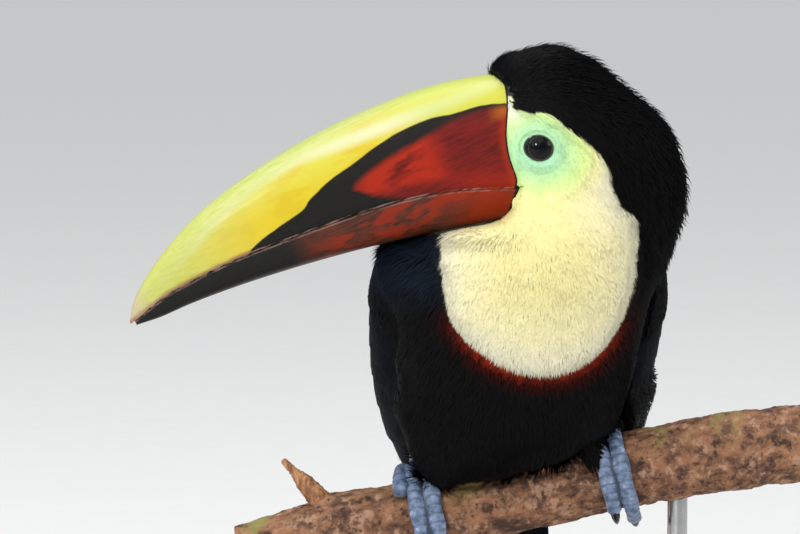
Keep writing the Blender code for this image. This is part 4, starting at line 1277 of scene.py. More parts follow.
# The feet are dry and scaly: broad overlapping shields along the front of the shin and the tops of the toes,
# small scales on their sides, and soft pebbled pads below. Two toes point forward and two back.
TOE_RADIUS = 0.0031
TOE_GAP = 0.0003
TOE_PATH_MM = 18.4  # from the perch's axis to the middle of a toe
TOE_END = 0.0022 / 0.0184  # how far the rounded end runs on round the perch, in radians
TOE_PITCH, SHIN_PITCH = 3.1, 3.7
TARSUS_RADIUS = 0.0037
TARSUS_SWELL = (1.12, 1.22, 1.02, 0.95, 0.95, 1.0, 1.15)
KNUCKLE = {"right": "rear_outer", "left": "rear_inner"}  # the rear toe whose root bulges forward by the shin
KNUCKLE_OUT = 8.3
KNUCKLE_ANGLE = 47
TOES = {  # offset along the perch at the root and at the tip, mm, first and last angle
    "front_inner": (-3.3, -2.4, 86, -36),
    "front_outer": (3.3, 4.8, 86, -72),
    "rear_inner": (-3.3, -4.8, 94, 158),
    "rear_outer": (3.3, 4.8, 94, 196),
}
TOE_PADS = (1.16, 1.06, 0.90, 1.08, 0.88, 1.02, 0.86, 0.90)
CLAW_SWEEP = 34
CLAW_ARCH = {"front_inner": 0.35, "front_outer": 0.95, "rear_inner": 0.1, "rear_outer": 0.1}
CLAW_SLIM = (0.80, 0.78, 0.66, 0.44, 0.14)


def around_perch(t, angle, reach):
    out = np.outer(np.cos(angle), FRONT) + np.outer(np.sin(angle), PERCH_UP)
    return GRIP + np.outer(t, PERCH_AXIS) + reach[:, None] * out, out


def scale_relief(along_mm, turn, pitch):
    """Height of the scales: shields on top, two rows of small scales each side, pebbles below."""
    top = smooth_step(np.cos(turn), 0.10, 0.35)
    below = smooth_step(-np.cos(turn), 0.25, 0.55)
    shield = (along_mm / pitch + 0.12 * np.cos(2 * turn)) % 1.0
    shield_high = 0.40 * np.minimum(1, 7 * shield) * (1 - 0.45 * shield)
    shield_high *= smooth_step(1.0 - shield, 0.0, 0.14)
    row = np.sin(4.5 * turn) * np.sin(2 * pi * along_mm / (0.62 * pitch) + 1.5 * np.sign(np.sin(turn)))
    pebbles = np.sin(7 * turn + 1.3 * along_mm) * np.sin(2 * pi * along_mm / (0.45 * pitch))
    high = top * shield_high + (1 - top) * (1 - below) * 0.13 * np.abs(row) + below * 0.09 * np.abs(pebbles)
    # The creases between the scales, where the finish paints shade.
    crease = top * smooth_step(np.minimum(shield, 1 - shield), 0.16, 0.02)
    crease += (1 - top) * smooth_step(np.abs(row), 0.30, 0.05)
    return high * MM, crease


def toe_shape(side, toe):
    root, tip, start, end = TOES[toe]
    if KNUCKLE[side] == toe:
        root, start = np.sign(root) * KNUCKLE_OUT, KNUCKLE_ANGLE
    outward = SIDES[side]

    def shape(around, along):
        share = np.clip((along - 0.05) / 0.9, 0, 1)
        turn = 2 * pi * around
        angle = np.radians(start + (end - start) * share)
        t = FOOT_SPREAD[side] + outward * (root + (tip - root) * share) * MM
        radius = TOE_RADIUS * smooth_curve(np.linspace(0, 1, 8), TOE_PADS, share)
        high, crease = scale_relief(share * abs(end - start) * pi / 180 * TOE_PATH_MM, turn, TOE_PITCH)
        cap = np.clip(np.minimum(along, 1 - along) / 0.05, 0, 1)
        round_off = np.sqrt(1 - (1 - cap) ** 2)
        radius = (radius + high) * round_off
        run_on = np.sign(end - start) * np.where(along < 0.5, -1.0, 1.0) * (1 - cap) * TOE_END
        middle, out = around_perch(t, angle + run_on, np.full(len(t), PERCH_RADIUS + TOE_GAP + TOE_RADIUS))
        points = middle + (radius * np.cos(turn))[:, None] * out + np.outer(radius * np.sin(turn), PERCH_AXIS)
        return points, {"crease": crease, "pad": smooth_step(-np.cos(turn), 0.2, 0.7)}

    return shape


def shin_shape(side):
    outward, place = SIDES[side], FOOT_SPREAD[side]
    sole = GRIP + place * PERCH_AXIS + SHIN_FOOT * PERCH_UP + np.array((0, -SHIN_AHEAD, -0.0005))
    heel = GRIP + np.array((place + outward * MM, HEEL[1], HEEL[2]))
    way = heel - sole
    long = np.linalg.norm(way)
    way = way / long
    front = FRONT - (FRONT @ way) * way
    front /= np.linalg.norm(front)
    across = np.cross(way, front)

    def shape(around, along):
        share = np.clip((along - 0.06) / 0.88, 0, 1) * 0.86
        turn = 2 * pi * around
        width = TARSUS_RADIUS * smooth_curve(np.linspace(0, 1, 7), TARSUS_SWELL, share)
        high, crease = scale_relief(share * long / MM, turn, SHIN_PITCH)
        cap = np.clip(np.minimum(along, 1 - along) / 0.06, 0, 1)
        push = np.where(along < 0.5, -1.0, 1.0) * (1 - cap) * width * 0.7
        radius = (width + high) * np.sqrt(1 - (1 - cap) ** 2)
        middle = sole + np.outer(share * long + push, way)
        points = middle + np.outer(radius * np.cos(turn), front)
        points += np.outer(0.92 * radius * np.sin(turn), across)
        return points, {"crease": crease, "pad": 0.0 * share}

    return shape


def claw_shape(side, toe):
    _, tip, start, end = TOES[toe]
    way = np.sign(end - start)
    t_tip = FOOT_SPREAD[side] + SIDES[side] * tip * MM

    def shape(around, along):
        share = np.clip((along - 0.04) / 0.96, 0, 1)
        turn = 2 * pi * around
        angle = np.radians(end + way * (-3.5 + (CLAW_SWEEP + 4.5) * share))
        radius = TOE_RADIUS * smooth_curve(np.linspace(0, 1, 5), CLAW_SLIM, share)
        radius = radius * np.sqrt(np.clip(along / 0.04, 0, 1)) * np.sqrt(np.clip((1 - along) / 0.06, 0, 1))
        arch = CLAW_ARCH[toe] * share * (1.6 - 0.6 * share)
        reach = PERCH_RADIUS + TOE_GAP + TOE_RADIUS * (1.0 + arch)
        middle, out = around_perch(np.full(len(share), t_tip), angle, reach)
        keel = 1 + 0.18 * np.maximum(0, np.cos(turn)) ** 3
        points = middle + (radius * np.cos(turn) * keel)[:, None] * out
        points += np.outer(0.80 * radius * np.sin(turn), PERCH_AXIS)
        return points, {"to_tip": share}

    return shape


scale_finish, tree, shader = new_finish("foot_scales", Roughness=0.45, Coat_Weight=0.12, Coat_Roughness=0.3)
crease, pad = value_of(tree, "crease"), value_of(tree, "pad")
patchy = noise(tree, place_of(tree), 330.0, 4.0, 0.6)
fine = noise(tree, place_of(tree), 1700.0, 3.0)
scale_colour = between(tree, step(tree, patchy, 0.34, 0.66), (0.085, 0.125, 0.205), (0.190, 0.250, 0.400))
scale_colour = between(tree, step(tree, patchy, 0.58, 0.70), scale_colour, (0.36, 0.41, 0.54))
scale_colour = between(tree, step(tree, patchy, 0.42, 0.36), scale_colour, (0.040, 0.100, 0.150))
# The creases between the scales are painted dark teal as shade.
scale_colour = between(tree, times(tree, crease, 0.65), scale_colour, (0.030, 0.062, 0.095))
scale_colour = between(tree, times(tree, pad, 0.6), scale_colour, (0.17, 0.18, 0.22))
wire(tree, shader, scale_colour, (fine, 0.35, 0.28), (plus(tree, fine, patchy), 0.00015))
claw_finish, tree, shader = new_finish("claw_horn", Roughness=0.34, Specular_IOR_Level=0.25)
grain = noise(tree, place_of(tree), 700.0, 4.0)
claw_colour = between(tree, step(tree, grain, 0.4, 0.7), (0.004, 0.004, 0.005), (0.016, 0.015, 0.015))
claw_root = step(tree, value_of(tree, "to_tip"), 0.10, 0.0)
claw_colour = between(tree, claw_root, claw_colour, (0.03, 0.035, 0.045))
wire(tree, shader, claw_colour, (grain, 0.3, 0.18), (grain, 0.00008))

for side in SIDES:
    sleeves = [wrapped_sheet(32, 110, toe_shape(side, toe)) for toe in TOES]
    scales = join([wrapped_sheet(40, 100, shin_shape(side))] + sleeves)
    finish_piece(scales, f"foot_scales_{side}", scale_finish, [f"tarsus_{side}"])
    for toe in TOES:
        claw = wrapped_sheet(28, 40, claw_shape(side, toe))
        finish_piece(claw, f"horn_claw_{side}_{toe}", claw_finish, [f"claw_{side}_{toe}"])


# Each folded wing is a shell of stiff, glossy feathers laid like tiles from the shoulder back: short coverts
# in rows, then long secondaries above and primaries below, whose edges are worn to a dull olive.
BODY_YAW = radians(6)
BODY_SHIFT = 3
WING_AXIS = np.array(((-9, 99), (79, -37)), float)
WING_OUT = [(0, 54.5), (0.10, 57.4), (0.25, 57.8), (0.45, 54.2), (0.65, 44.4), (0.82, 30), (1, 17)]
WING_DEEP = [(0, 34), (0.10, 38.5), (0.25, 43), (0.45, 42.5), (0.65, 33), (0.82, 24), (1, 16)]
WING_LOW = [(0, -15), (0.10, -31), (0.25, -38), (0.45, -35), (0.7, -18), (0.88, 16), (1, 50)]
WING_HIGH = [(0, 30), (0.10, 46), (0.25, 60), (0.45, 72), (0.7, 77), (0.88, 78), (1, 74)]
WING_THICK = [(0, 3.5), (0.25, 7), (0.5, 7), (0.75, 4.5), (1, 2)]


def turned(points):
    """Points in the trunk's own axes, millimetres from the perch, as places in the room."""
    c, s = cos(BODY_YAW), sin(BODY_YAW)
    x, y = points[..., 0], points[..., 1]
    return GRIP + np.stack([x * c - y * s + BODY_SHIFT, x * s + y * c, points[..., 2]], -1) * MM


def wing_point(t, share, side, lift):
    """A place over the wing: t from shoulder to tip, share from its low edge to its high one, lift in mm."""
    way = WING_AXIS[1] - WING_AXIS[0]
    back = np.array((-way[1], way[0])) / np.linalg.norm(way)
    out, deep = knots_at(WING_OUT, t), knots_at(WING_DEEP, t)
    low, high = knots_at(WING_LOW, t), knots_at(WING_HIGH, t)
    angle = np.radians(low + (high - low) * share)
    middle = WING_AXIS[0] + t[..., None] * way
    flat = middle + ((deep + lift) * np.sin(angle))[..., None] * back
    return turned(np.stack([side * (out + lift) * np.cos(angle), flat[..., 0], flat[..., 1]], -1))


def wing_core_shape(side):
    """The wing's body under its feathers, thinner all round than the wing itself."""

    def shape(around, along):
        t = 0.015 + 0.95 * along
        outer = around < 0.5
        share = np.where(outer, 2 * around, 2 - 2 * around)
        narrow = np.sin(pi * np.clip(along, 0, 1)) ** 0.4
        share = 0.5 + (share - 0.5) * 0.95 * narrow
        thick = 0.7 + (knots_at(WING_THICK, t) - 0.7) * np.sin(pi * np.clip(share, 0, 1)) ** 0.5
        return wing_point(t, share, side, np.where(outer, -1.5, -np.maximum(thick, 1.9)))

    return shape


FEATHER_STEPS = 14
FEATHER_SIDES = np.array((-1.0, -0.75, -0.4, 0.0, 0.4, 0.75, 1.0))


def feather_outline(along, blunt):
    """Half width of a vane, as a share of its widest, from the quill to the rounded tip."""
    swell = smooth_step(along, -0.05, 0.22) * 0.45 + 0.55
    tip = np.sqrt(np.clip(1 - np.clip((along - blunt) / (1 - blunt), 0, 1) ** 2.4, 0.0, 1))
    return swell * np.maximum(tip, 0.04)


def feathers(name, place, half_widths, blunt, thick, kinds):
    """Closed vanes as one mesh. place(k, along, across_mm, lift) gives points for feather numbers k."""
    count, around = len(half_widths), 2 * len(FEATHER_SIDES)
    number = np.arange(count)[:, None, None]
    along = np.linspace(0, 1, FEATHER_STEPS)[None, :, None]
    sides = np.concatenate((FEATHER_SIDES, FEATHER_SIDES[::-1]))[None, None, :]
    upper = np.concatenate((np.ones(len(FEATHER_SIDES)), np.zeros(len(FEATHER_SIDES))))[None, None, :]
    number, along, sides, upper = np.broadcast_arrays(number, along, sides, upper)
    half = np.asarray(half_widths)[number] * feather_outline(along, blunt)
    across = half * sides
    quill = 0.22 * np.exp(-((sides / 0.2) ** 2)) * (1 - 0.7 * along)
    edge_thin = 1 - 0.6 * np.abs(sides) ** 3
    lift = np.where(upper > 0, thick * edge_thin + quill, 0.0)
    wave = 0.10 * np.sin(9 * along + number * 2.3) * sides
    points = place(number, along, across, lift + wave)
    first = np.arange(count)[:, None, None] * FEATHER_STEPS + np.arange(FEATHER_STEPS - 1)[None, :, None]
    first = first * around
    ring = np.arange(around)[None, None, :]
    next_ring = (ring + 1) % around
    quads = np.stack([first + ring, first + next_ring, first + around + next_ring, first + around + ring], -1)
    starts = np.arange(count)[:, None] * FEATHER_STEPS * around
    last_ring = starts + (FEATHER_STEPS - 1) * around
    caps = [starts + np.arange(around)[None, ::-1], last_ring + np.arange(around)]
    faces = [quads.reshape(-1, 4), *caps]
    flat = points.reshape(-1, 3)
    ring_points = flat[faces[0]]
    diagonals = np.cross(ring_points[:, 2] - ring_points[:, 0], ring_points[:, 3] - ring_points[:, 1])
    if (diagonals * (ring_points.mean(1) - flat.mean(0))).sum() < 0:
        faces = [group[:, ::-1] for group in faces]
    columns = int(np.ceil(np.sqrt(count * 3)))
    rows = int(np.ceil(count / columns))
    over_vane = 0.88 * (np.arange(around) + 0.5)[None, None, :] / around
    place_in_row = (number % columns + 0.06 + over_vane) / columns
    place_in_column = 0.9 * (number // columns + 0.04 + 0.92 * along) / rows
    bake_map = np.stack([place_in_row, place_in_column], -1).reshape(-1, 2)
    values = {
        "across_vane": sides.ravel(),
        "along_vane": along.ravel(),
        "barbs": (along * 40 + 0.9 * np.abs(across)).ravel(),
        "tint": chance.uniform(0, 1, count)[number].ravel(),
        "kind": np.asarray(kinds, float)[number].ravel(),
    }
    return mesh_of(name, flat, faces, values, bake_map)


def mesh_of(name, points, face_groups, values, bake_map=None, colours=None, leans=None):
    """One mesh from arrays of points and of faces, each group with its own number of corners."""
    made = bpy.data.meshes.new(name)
    corners = np.concatenate([g.ravel() for g in face_groups]).astype(np.int32)
    sizes = np.concatenate([np.full(len(g), g.shape[1]) for g in face_groups]).astype(np.int32)
    made.vertices.add(len(points))
    made.vertices.foreach_set("co", np.asarray(points, np.float32).ravel())
    made.loops.add(len(corners))
    made.loops.foreach_set("vertex_index", corners)
    made.polygons.add(len(sizes))
    made.polygons.foreach_set("loop_start", np.concatenate(([0], np.cumsum(sizes)[:-1])).astype(np.int32))
    made.polygons.foreach_set("use_smooth", np.ones(len(sizes), bool))
    made.update(calc_edges=True)
    piece = bpy.data.objects.new(name, made)
    bpy.context.scene.collection.objects.link(piece)
    for value_name, value in values.items():
        write_value(piece, value_name, value)
    if colours is not None:
        write_colour(piece, colours)
    if bake_map is not None:
        layer = made.uv_layers.new(name="OFBake")
        layer.data.foreach_set("uv", np.asarray(bake_map, np.float32)[corners].ravel())
    if leans is not None:
        made.normals_split_custom_set_from_vertices(leans)
    return piece


WING_ROWS = (  # start and length in t, feathers, low and high share, half width and lift in mm, kind
    (0.005, 0.09, 10, 0.04, 0.94, 6.2, 0.25, 0),
    (0.060, 0.11, 12, 0.03, 0.95, 6.6, 0.10, 0),
    (0.115, 0.12, 14, 0.03, 0.96, 6.8, 0.00, 0),
    (0.170, 0.13, 15, 0.03, 0.96, 7.0, -0.10, 0),
    (0.225, 0.15, 15, 0.03, 0.97, 7.4, -0.20, 0),
    (0.290, 0.19, 14, 0.03, 0.97, 8.2, -0.35, 1),
    (0.360, 0.25, 12, 0.04, 0.97, 9.4, -0.55, 1),
)
LONG_COUNT = 10  # primaries, and as many secondaries


def wing_feathers(side_name):
    side = SIDES[side_name]
    rows = []  # start and length in t, share at the quill and at the tip, half width and lift in mm, kind
    for k in range(LONG_COUNT):
        share = k / (LONG_COUNT - 1)
        start, span = 0.50 - 0.02 * share, 0.46 - 0.11 * (1 - share)
        rows.append((start, span, 0.05 + 0.26 * share, 0.10 + 0.40 * share, 7.2, -1.5 + 0.07 * k, 3))
    for k in range(LONG_COUNT):
        share = k / (LONG_COUNT - 1)
        start, span = 0.44 + 0.02 * share, 0.30 + 0.16 * share
        rows.append((start, span, 0.40 + 0.54 * share, 0.52 + 0.30 * share, 9.6, -0.9 + 0.04 * k, 2))
    for start, span, count, low, high, half, lift, kind in WING_ROWS:
        for k in range(count):
            share = low + (high - low) * (k + 0.5 * (len(rows) % 2)) / (count - 0.5)
            jitter = chance.normal(0, 0.004, 2)
            short = 1 - 0.38 * smooth_step(share, 0.34, 0.05) * smooth_step(start, 0.2, 0.32)
            long = span * short * (1 + 4 * jitter[1])
            rows.append((start + jitter[0], long, share, 0.5 + (share - 0.5) * 0.96, half, lift, kind))
    starts, spans, lows, highs, halves, lifts, kinds = np.array(rows, float).T

    def place(number, along, across, lift):
        t = starts[number] + spans[number] * along
        share = lows[number] + (highs[number] - lows[number]) * along
        step_size = 0.01
        reach = wing_point(t, share + step_size, side, 0.0) - wing_point(t, share, side, 0.0)
        per_mm = step_size / (np.linalg.norm(reach, axis=-1) / MM)
        tilt = 1.3 * along * (1 - 0.35 * along)
        height = lifts[number] - 0.6 + tilt + lift
        return wing_point(np.clip(t, 0, 1.0), np.clip(share + across * per_mm, -0.03, 1.03), side, height)

    return feathers(f"feathers_{side_name}", place, halves, 0.72, 0.28, kinds)


vane_finish, tree, shader = new_finish("glossy_black_vane", Roughness=0.4, Specular_IOR_Level=0.006)
across_vane, along_vane = value_of(tree, "across_vane"), value_of(tree, "along_vane")
barb = sums(tree, "SINE", times(tree, value_of(tree, "barbs"), 11.0))
tint, kind = value_of(tree, "tint"), value_of(tree, "kind")
vane = between(tree, tint, (0.0030, 0.0034, 0.0046), (0.0062, 0.0072, 0.0100))
vane = between(tree, step(tree, barb, 0.2, 1.0), vane, (0.0078, 0.0090, 0.0125))
shaft = step(tree, sums(tree, "ABSOLUTE", across_vane), 0.07, 0.02)
vane = between(tree, times(tree, shaft, step(tree, kind, 0.5, 0.6)), vane, (0.0012, 0.0012, 0.0014))
worn = times(tree, step(tree, across_vane, -0.80, -0.93), step(tree, kind, 2.4, 2.6))
worn = times(tree, worn, step(tree, along_vane, 0.05, 0.25))
vane = between(tree, times(tree, worn, 0.6), vane, (0.075, 0.068, 0.038))
soft = noise(tree, place_of(tree), 260.0, 3.0)
wire(tree, shader, vane, (soft, 0.25, 0.32), (barb, 0.00005))
for side, sign in SIDES.items():
    core = wrapped_sheet(48, 60, wing_core_shape(sign))
    core_map = core.data.uv_layers.active
    core_map.name = "OFBake"
    flat_map = np.empty(len(core.data.loops) * 2, np.float32)
    core_map.data.foreach_get("uv", flat_map)
    strip = flat_map.reshape(-1, 2) * (1, 0.09) + (0, 0.91)
    core_map.data.foreach_set("uv", strip.astype(np.float32).ravel())
    wing = join([wing_feathers(side), core])
    finish_piece(wing, f"wing_feathers_{side}", vane_finish, [f"wing_{side}"])


# The tail is ten long, blunt, stiff feathers, laid in a narrow fan with the middle pair on top. Their quills
# go into the rump, between its red feathers below and its white ones above.
TAIL_ROOT = np.array((0, 44, 28), float)
TAIL_PITCH = radians(57)
TAIL_LONG = 176
TAIL_COUNT = 10
TAIL_HALF_WIDE = 11.0
tail_way = np.array((0, cos(TAIL_PITCH), -sin(TAIL_PITCH)))
tail_top = np.array((0, sin(TAIL_PITCH), cos(TAIL_PITCH)))


def tail_place(number, along, across, lift):
    """The outer feathers are shorter, lie lower and spread further."""
    spot = np.arange(TAIL_COUNT) - (TAIL_COUNT - 1) / 2
    outer = np.abs(spot) / spot.max()
    long_mm = TAIL_LONG * (1 - 0.13 * outer**2)
    x = spot[number] * (1.5 + 2.3 * smooth_step(along, 0.0, 0.85)) + across
    level = 1.5 - 3.0 * outer[number] + 0.12 * (spot[number] > 0)
    rise = level * (1 - 0.45 * along) + lift - 0.003 * x * x - 0.2 * np.sin(pi * along)
    points = TAIL_ROOT + (long_mm[number] * along)[..., None] * tail_way + rise[..., None] * tail_top
    points[..., 0] += x
    return turned(points)


tail = feathers("tail", tail_place, [TAIL_HALF_WIDE] * TAIL_COUNT, 0.90, 0.42, [2.0] * TAIL_COUNT)
finish_piece(tail, "tail_feathers", vane_finish, ["tail"])


# The plumage is thousands of small soft feathers, each rooted in the skin and lying back along the bird. They
# are short and raised on the crown, fine and dense on the bib, and longer and looser on the breast, belly and
# rump.
TUFT_LEAN = 0.45
BAKE_PATCH = 0.003
ROUNDNESS = 0.45
BACK_DOWN = np.array((0, 0.9, -0.45))


def blend(first, second, share):
    return first + (second - first) * share[:, None]


def along_surface(ways, normals):
    """Each way laid flat on the surface, at length 1."""
    return unit(ways - (ways * normals).sum(1)[:, None] * normals)


def lie_of(points, normals):
    """Which way the feathers grow, along the skin."""
    axes, front = head_axes(points), from_grip(points)
    forward, _, upward = HEAD_WAYS
    cheek = smooth_step(np.abs(axes[:, 1]), 8, 17) * smooth_step(axes[:, 2], 24, 6)
    head = blend(-forward - 0.30 * upward, -0.55 * forward - 1.0 * upward, cheek)
    brow = smooth_step(axes[:, 0], -14, -3) * smooth_step(axes[:, 2], 20, 27)
    head = blend(head, -0.5 * forward + 0.8 * upward, brow)
    fan = (front[:, 0] - 8) / 34
    breast = np.stack([0.55 * fan, 0.42 + 0 * fan, -1 + 0 * fan], 1)
    back = np.tile((0, 0.54, -0.84), (len(points), 1))
    body = blend(breast, back, smooth_step(front[:, 1], -8, 22))
    way = blend(body, head, smooth_step(front[:, 2], 96, 118))
    swirl = np.stack([ripples(points, 0.014, seed) for seed in (71, 72, 73)], 1)
    return along_surface(unit(way) + 0.16 * swirl, normals)


def coat_regions(points):
    """Shares of the plumage's regions, each 0 to 1, by name."""
    axes, front = head_axes(points), from_grip(points)
    light = smooth_step(light_depth(points), -1.5, 1.0)
    head = smooth_step(front[:, 2], 88, 112)
    return {
        "light": light,
        "crown": head * (1 - light) * smooth_step(axes[:, 2], 12, 24),
        "nape": head * (1 - light) * smooth_step(axes[:, 2], 24, 12),
        "brow": (1 - light) * smooth_step(axes[:, 0], -16, -4) * smooth_step(axes[:, 2], 16, 24),
        "belly": (1 - head) * (1 - light) * smooth_step(front[:, 2], 46, 14),
        "rump": smooth_step(front @ np.array((0, 0.62, -0.79)), 6, 22) * smooth_step(front[:, 1], 16, 30),
        "bare": smooth_step(bare_share(points), 0.15, 0.85),
    }


def mixed(regions, start, **targets):
    """A measure that is start on the whole coat, and a region's own target inside that region."""
    value = np.full(len(regions["light"]), float(start))
    for region, target in targets.items():
        value += (target - value) * regions[region]
    return value


COVERING = ["wing_feathers_left", "wing_feathers_right", "tail_feathers", "upper_bill", "lower_bill"]
COVER_REACH = (0.012, 0.012, 0.012, 0.0022, 0.0022)  # how far over the skin each of them still covers it
ROOM = 0.006


def trees_of(names):
    graph = bpy.context.evaluated_depsgraph_get()
    return [BVHTree.FromObject(bpy.data.objects[name], graph) for name in names]


def covered(points, normals):
    """Where a wing, the tail or the bill lies close over the skin, and the room to the next one, 0 to 1."""
    trees = trees_of(COVERING)
    hidden, space = np.zeros(len(points), bool), np.ones(len(points))
    for k, (point, normal) in enumerate(zip(points.tolist(), normals.tolist())):
        start, way = Vector(point), Vector(normal)
        hits = (tree.ray_cast(start, way, reach)[0] for tree, reach in zip(trees, COVER_REACH))
        hidden[k] = any(hit is not None for hit in hits)
        if not hidden[k]:
            space[k] = min((tree.find_nearest(start, ROOM)[3] or ROOM) for tree in trees[:3]) / ROOM
    return hidden, space


skin.data.calc_loop_triangles()
corner_count = len(skin.data.loop_triangles) * 3
corners, loops = np.empty(corner_count, np.int32), np.empty(corner_count, np.int32)
skin.data.loop_triangles.foreach_get("vertices", corners)
skin.data.loop_triangles.foreach_get("loops", loops)
corners, loops = corners.reshape(-1, 3), loops.reshape(-1, 3)
skin_points, skin_normals = points_of(skin), normals_of(skin)
skin_map = np.empty(len(skin.data.loops) * 2, np.float32)
skin.data.uv_layers["OFBake"].data.foreach_get("uv", skin_map)
skin_map = skin_map.reshape(-1, 2)
edges = skin_points[corners]
area = np.linalg.norm(np.cross(edges[:, 1] - edges[:, 0], edges[:, 2] - edges[:, 0]), axis=1) / 2 / MM**2
middles = edges.mean(1)
regions = coat_regions(middles)
rate = mixed(regions, 2.6, crown=3.6, brow=4.4, light=4.1, belly=2.4, rump=2.0, bare=1.0)
axes = head_axes(middles)
rate *= (on_legs(middles) < 0.3) * (lid_distance(axes) > LID_REACH + 1.6)
number = np.floor(area * rate + chance.uniform(0, 1, len(area))).astype(int)
owner = np.repeat(np.arange(len(number)), number)
first, second = chance.uniform(0, 1, (2, len(owner)))
folded = first + second > 1
first[folded], second[folded] = 1 - first[folded], 1 - second[folded]
weights = np.stack([1 - first - second, first, second], 1)[:, :, None]
roots = (skin_points[corners[owner]] * weights).sum(1)
normals = unit((skin_normals[corners[owner]] * weights).sum(1))
root_places = (skin_map[loops[owner]] * weights).sum(1)
point_places = np.zeros((len(skin_points), 2))
point_places[corners.ravel()] = skin_map[loops.ravel()]
skin_tree = KDTree(len(skin_points))
for k, point in enumerate(skin_points.tolist()):
    skin_tree.insert(point, k)
skin_tree.balance()
hidden, space = covered(roots + normals * 0.0004, normals)
roots, normals, root_places, space = (value[~hidden] for value in (roots, normals, root_places, space))
sown = [roots, normals, lie_of(roots, normals), root_places, space]


def wing_roots(t, share, side, lift, slant):
    """Roots on a wing: their places, ways out, ways back along the wing, places in the bake map and room."""
    low, high = np.full(len(t), lift), np.full(len(t), lift + 1.0)
    place = wing_point(t, share, side, low)
    out = unit(wing_point(t, share, side, high) - place)
    way = along_surface(wing_point(t + 0.01, share + slant, side, low) - place, out)
    nearest = np.array([skin_tree.find(point)[1] for point in place.tolist()])
    return place, out, way, point_places[nearest], np.ones(len(t))


# Small feathers of the shoulder lie over the start of each wing and hide where it leaves the body.
SHOULDER_COUNT = 3900
SHOULDER_LONG = 0.15
for side in SIDES.values():
    t = -0.012 + SHOULDER_LONG * chance.uniform(0, 1, SHOULDER_COUNT) ** 1.6
    share = chance.uniform(-0.01, 1.01, SHOULDER_COUNT)
    sown = [np.concatenate(pair) for pair in zip(sown, wing_roots(t, share, side, 0.5, 0.0))]

# Loose flank feathers are fluffed out over the front edge of the left wing.
FLUFF_COUNT = 1500
t = chance.uniform(0.29, 0.50, FLUFF_COUNT)
share = -0.03 + 0.26 * chance.uniform(0, 1, FLUFF_COUNT) ** 1.7
sown = [np.concatenate(pair) for pair in zip(sown, wing_roots(t, share, 1, -0.4, 0.012))]
roots, normals, ways, root_places, space = sown
count = len(roots)
to_last = np.arange(count)[::-1]
fluff, on_wing = to_last < FLUFF_COUNT, to_last < FLUFF_COUNT + 2 * SHOULDER_COUNT
regions = coat_regions(roots)
long_mm = mixed(regions, 10.0, crown=6.5, nape=8.0, light=5.2, belly=12.0, rump=15.0, brow=4.2, bare=1.3)
wide_mm = mixed(regions, 0.56, crown=0.40, nape=0.48, light=0.44, belly=0.62, rump=0.85, brow=0.30, bare=0.18)
rise_mm = coat_depth(roots) * mixed(regions, 0.85, crown=1.10, brow=1.0, light=0.66, nape=0.92, bare=0.8)
flank = (1 - space) * smooth_step(roots[:, 2], PERCH_HEIGHT + 0.072, PERCH_HEIGHT + 0.060)
flank *= smooth_step(roots[:, 1], 0.030, 0.010)
long_mm *= 1 + 0.7 * flank
rise_mm *= 1 + 0.7 * flank
over_wing = BACK_DOWN - (normals @ BACK_DOWN)[:, None] * normals
ways = unit(blend(ways, over_wing, 0.6 * flank))
long_mm[on_wing], rise_mm[on_wing], wide_mm[on_wing] = 7.5, 1.3, 0.75
loose = smooth_step(t, 0.29, 0.37)
long_mm[fluff], rise_mm[fluff], wide_mm[fluff] = 5.0 + 8.0 * loose, 0.8 + 3.6 * loose, 0.40
hem = smooth_step(roots[:, 0], -0.014, -0.024) * smooth_step(roots[:, 1], 0.0, -0.010)
long_mm *= 1 + 0.7 * hem * regions["belly"]
at_tail = (1 - space) * regions["rump"]
long_mm *= 1 - 0.25 * at_tail
rise_mm *= 1 - 0.75 * at_tail
over_tail = smooth_step(distance_from(roots, TAIL_END), 0.024, 0.014) * ~on_wing
ways = unit(blend(ways, tail_way, 0.9 * over_tail))
rise_mm *= 1 - 0.6 * over_tail
long_mm *= chance.uniform(0.72, 1.18, count)
wide_mm *= chance.uniform(0.8, 1.2, count)
tight = (1 - space) * smooth_step(roots[:, 2], PERCH_HEIGHT + 0.072, PERCH_HEIGHT + 0.082)
rise_mm *= 1 - 0.35 * tight
even = regions["light"] * (1 - 0.3 * regions["crown"])
rise_mm *= 1 + chance.uniform(-0.40, 0.18, count) * (1 - 0.6 * even)
stray = (chance.uniform(0, 1, count) < 0.14) * (1 - regions["light"])
stray = stray * (regions["crown"] + regions["nape"]) * ~on_wing
rise_mm *= 1 + 0.45 * stray
turn_by = chance.normal(0, 0.16, count) * (1 + 0.5 * regions["belly"] - 0.3 * regions["light"])
across_ways = np.cross(normals, ways)
ways = ways * np.cos(turn_by)[:, None] + across_ways * np.sin(turn_by)[:, None]
across_ways = np.cross(normals, ways)
bend = long_mm**2 / 95.0
middles = roots + (TUFT_LEAN * long_mm[:, None] * ways + 0.72 * rise_mm[:, None] * normals) * MM
tips = roots + (long_mm[:, None] * ways + (rise_mm - bend)[:, None] * normals) * MM

# Barbs cling together, so that tips near each other are drawn into small locks.
LOCK_SIZE = 0.0042
warp = 0.0016 * np.stack([ripples(roots, 0.010, seed) for seed in (81, 82, 83)], 1)
cells = np.floor((roots + warp) / LOCK_SIZE).astype(int)
_, lock = np.unique(cells, axis=0, return_inverse=True)
lock = lock.ravel()
members = np.bincount(lock)
for ends, hold in ((middles, 0.08), (tips, 0.21)):
    for axis in range(3):
        centre = (np.bincount(lock, ends[:, axis]) / members)[lock]
        ends[:, axis] += hold * (centre - ends[:, axis]) * (1 - 0.75 * regions["light"]) * (1 - stray)

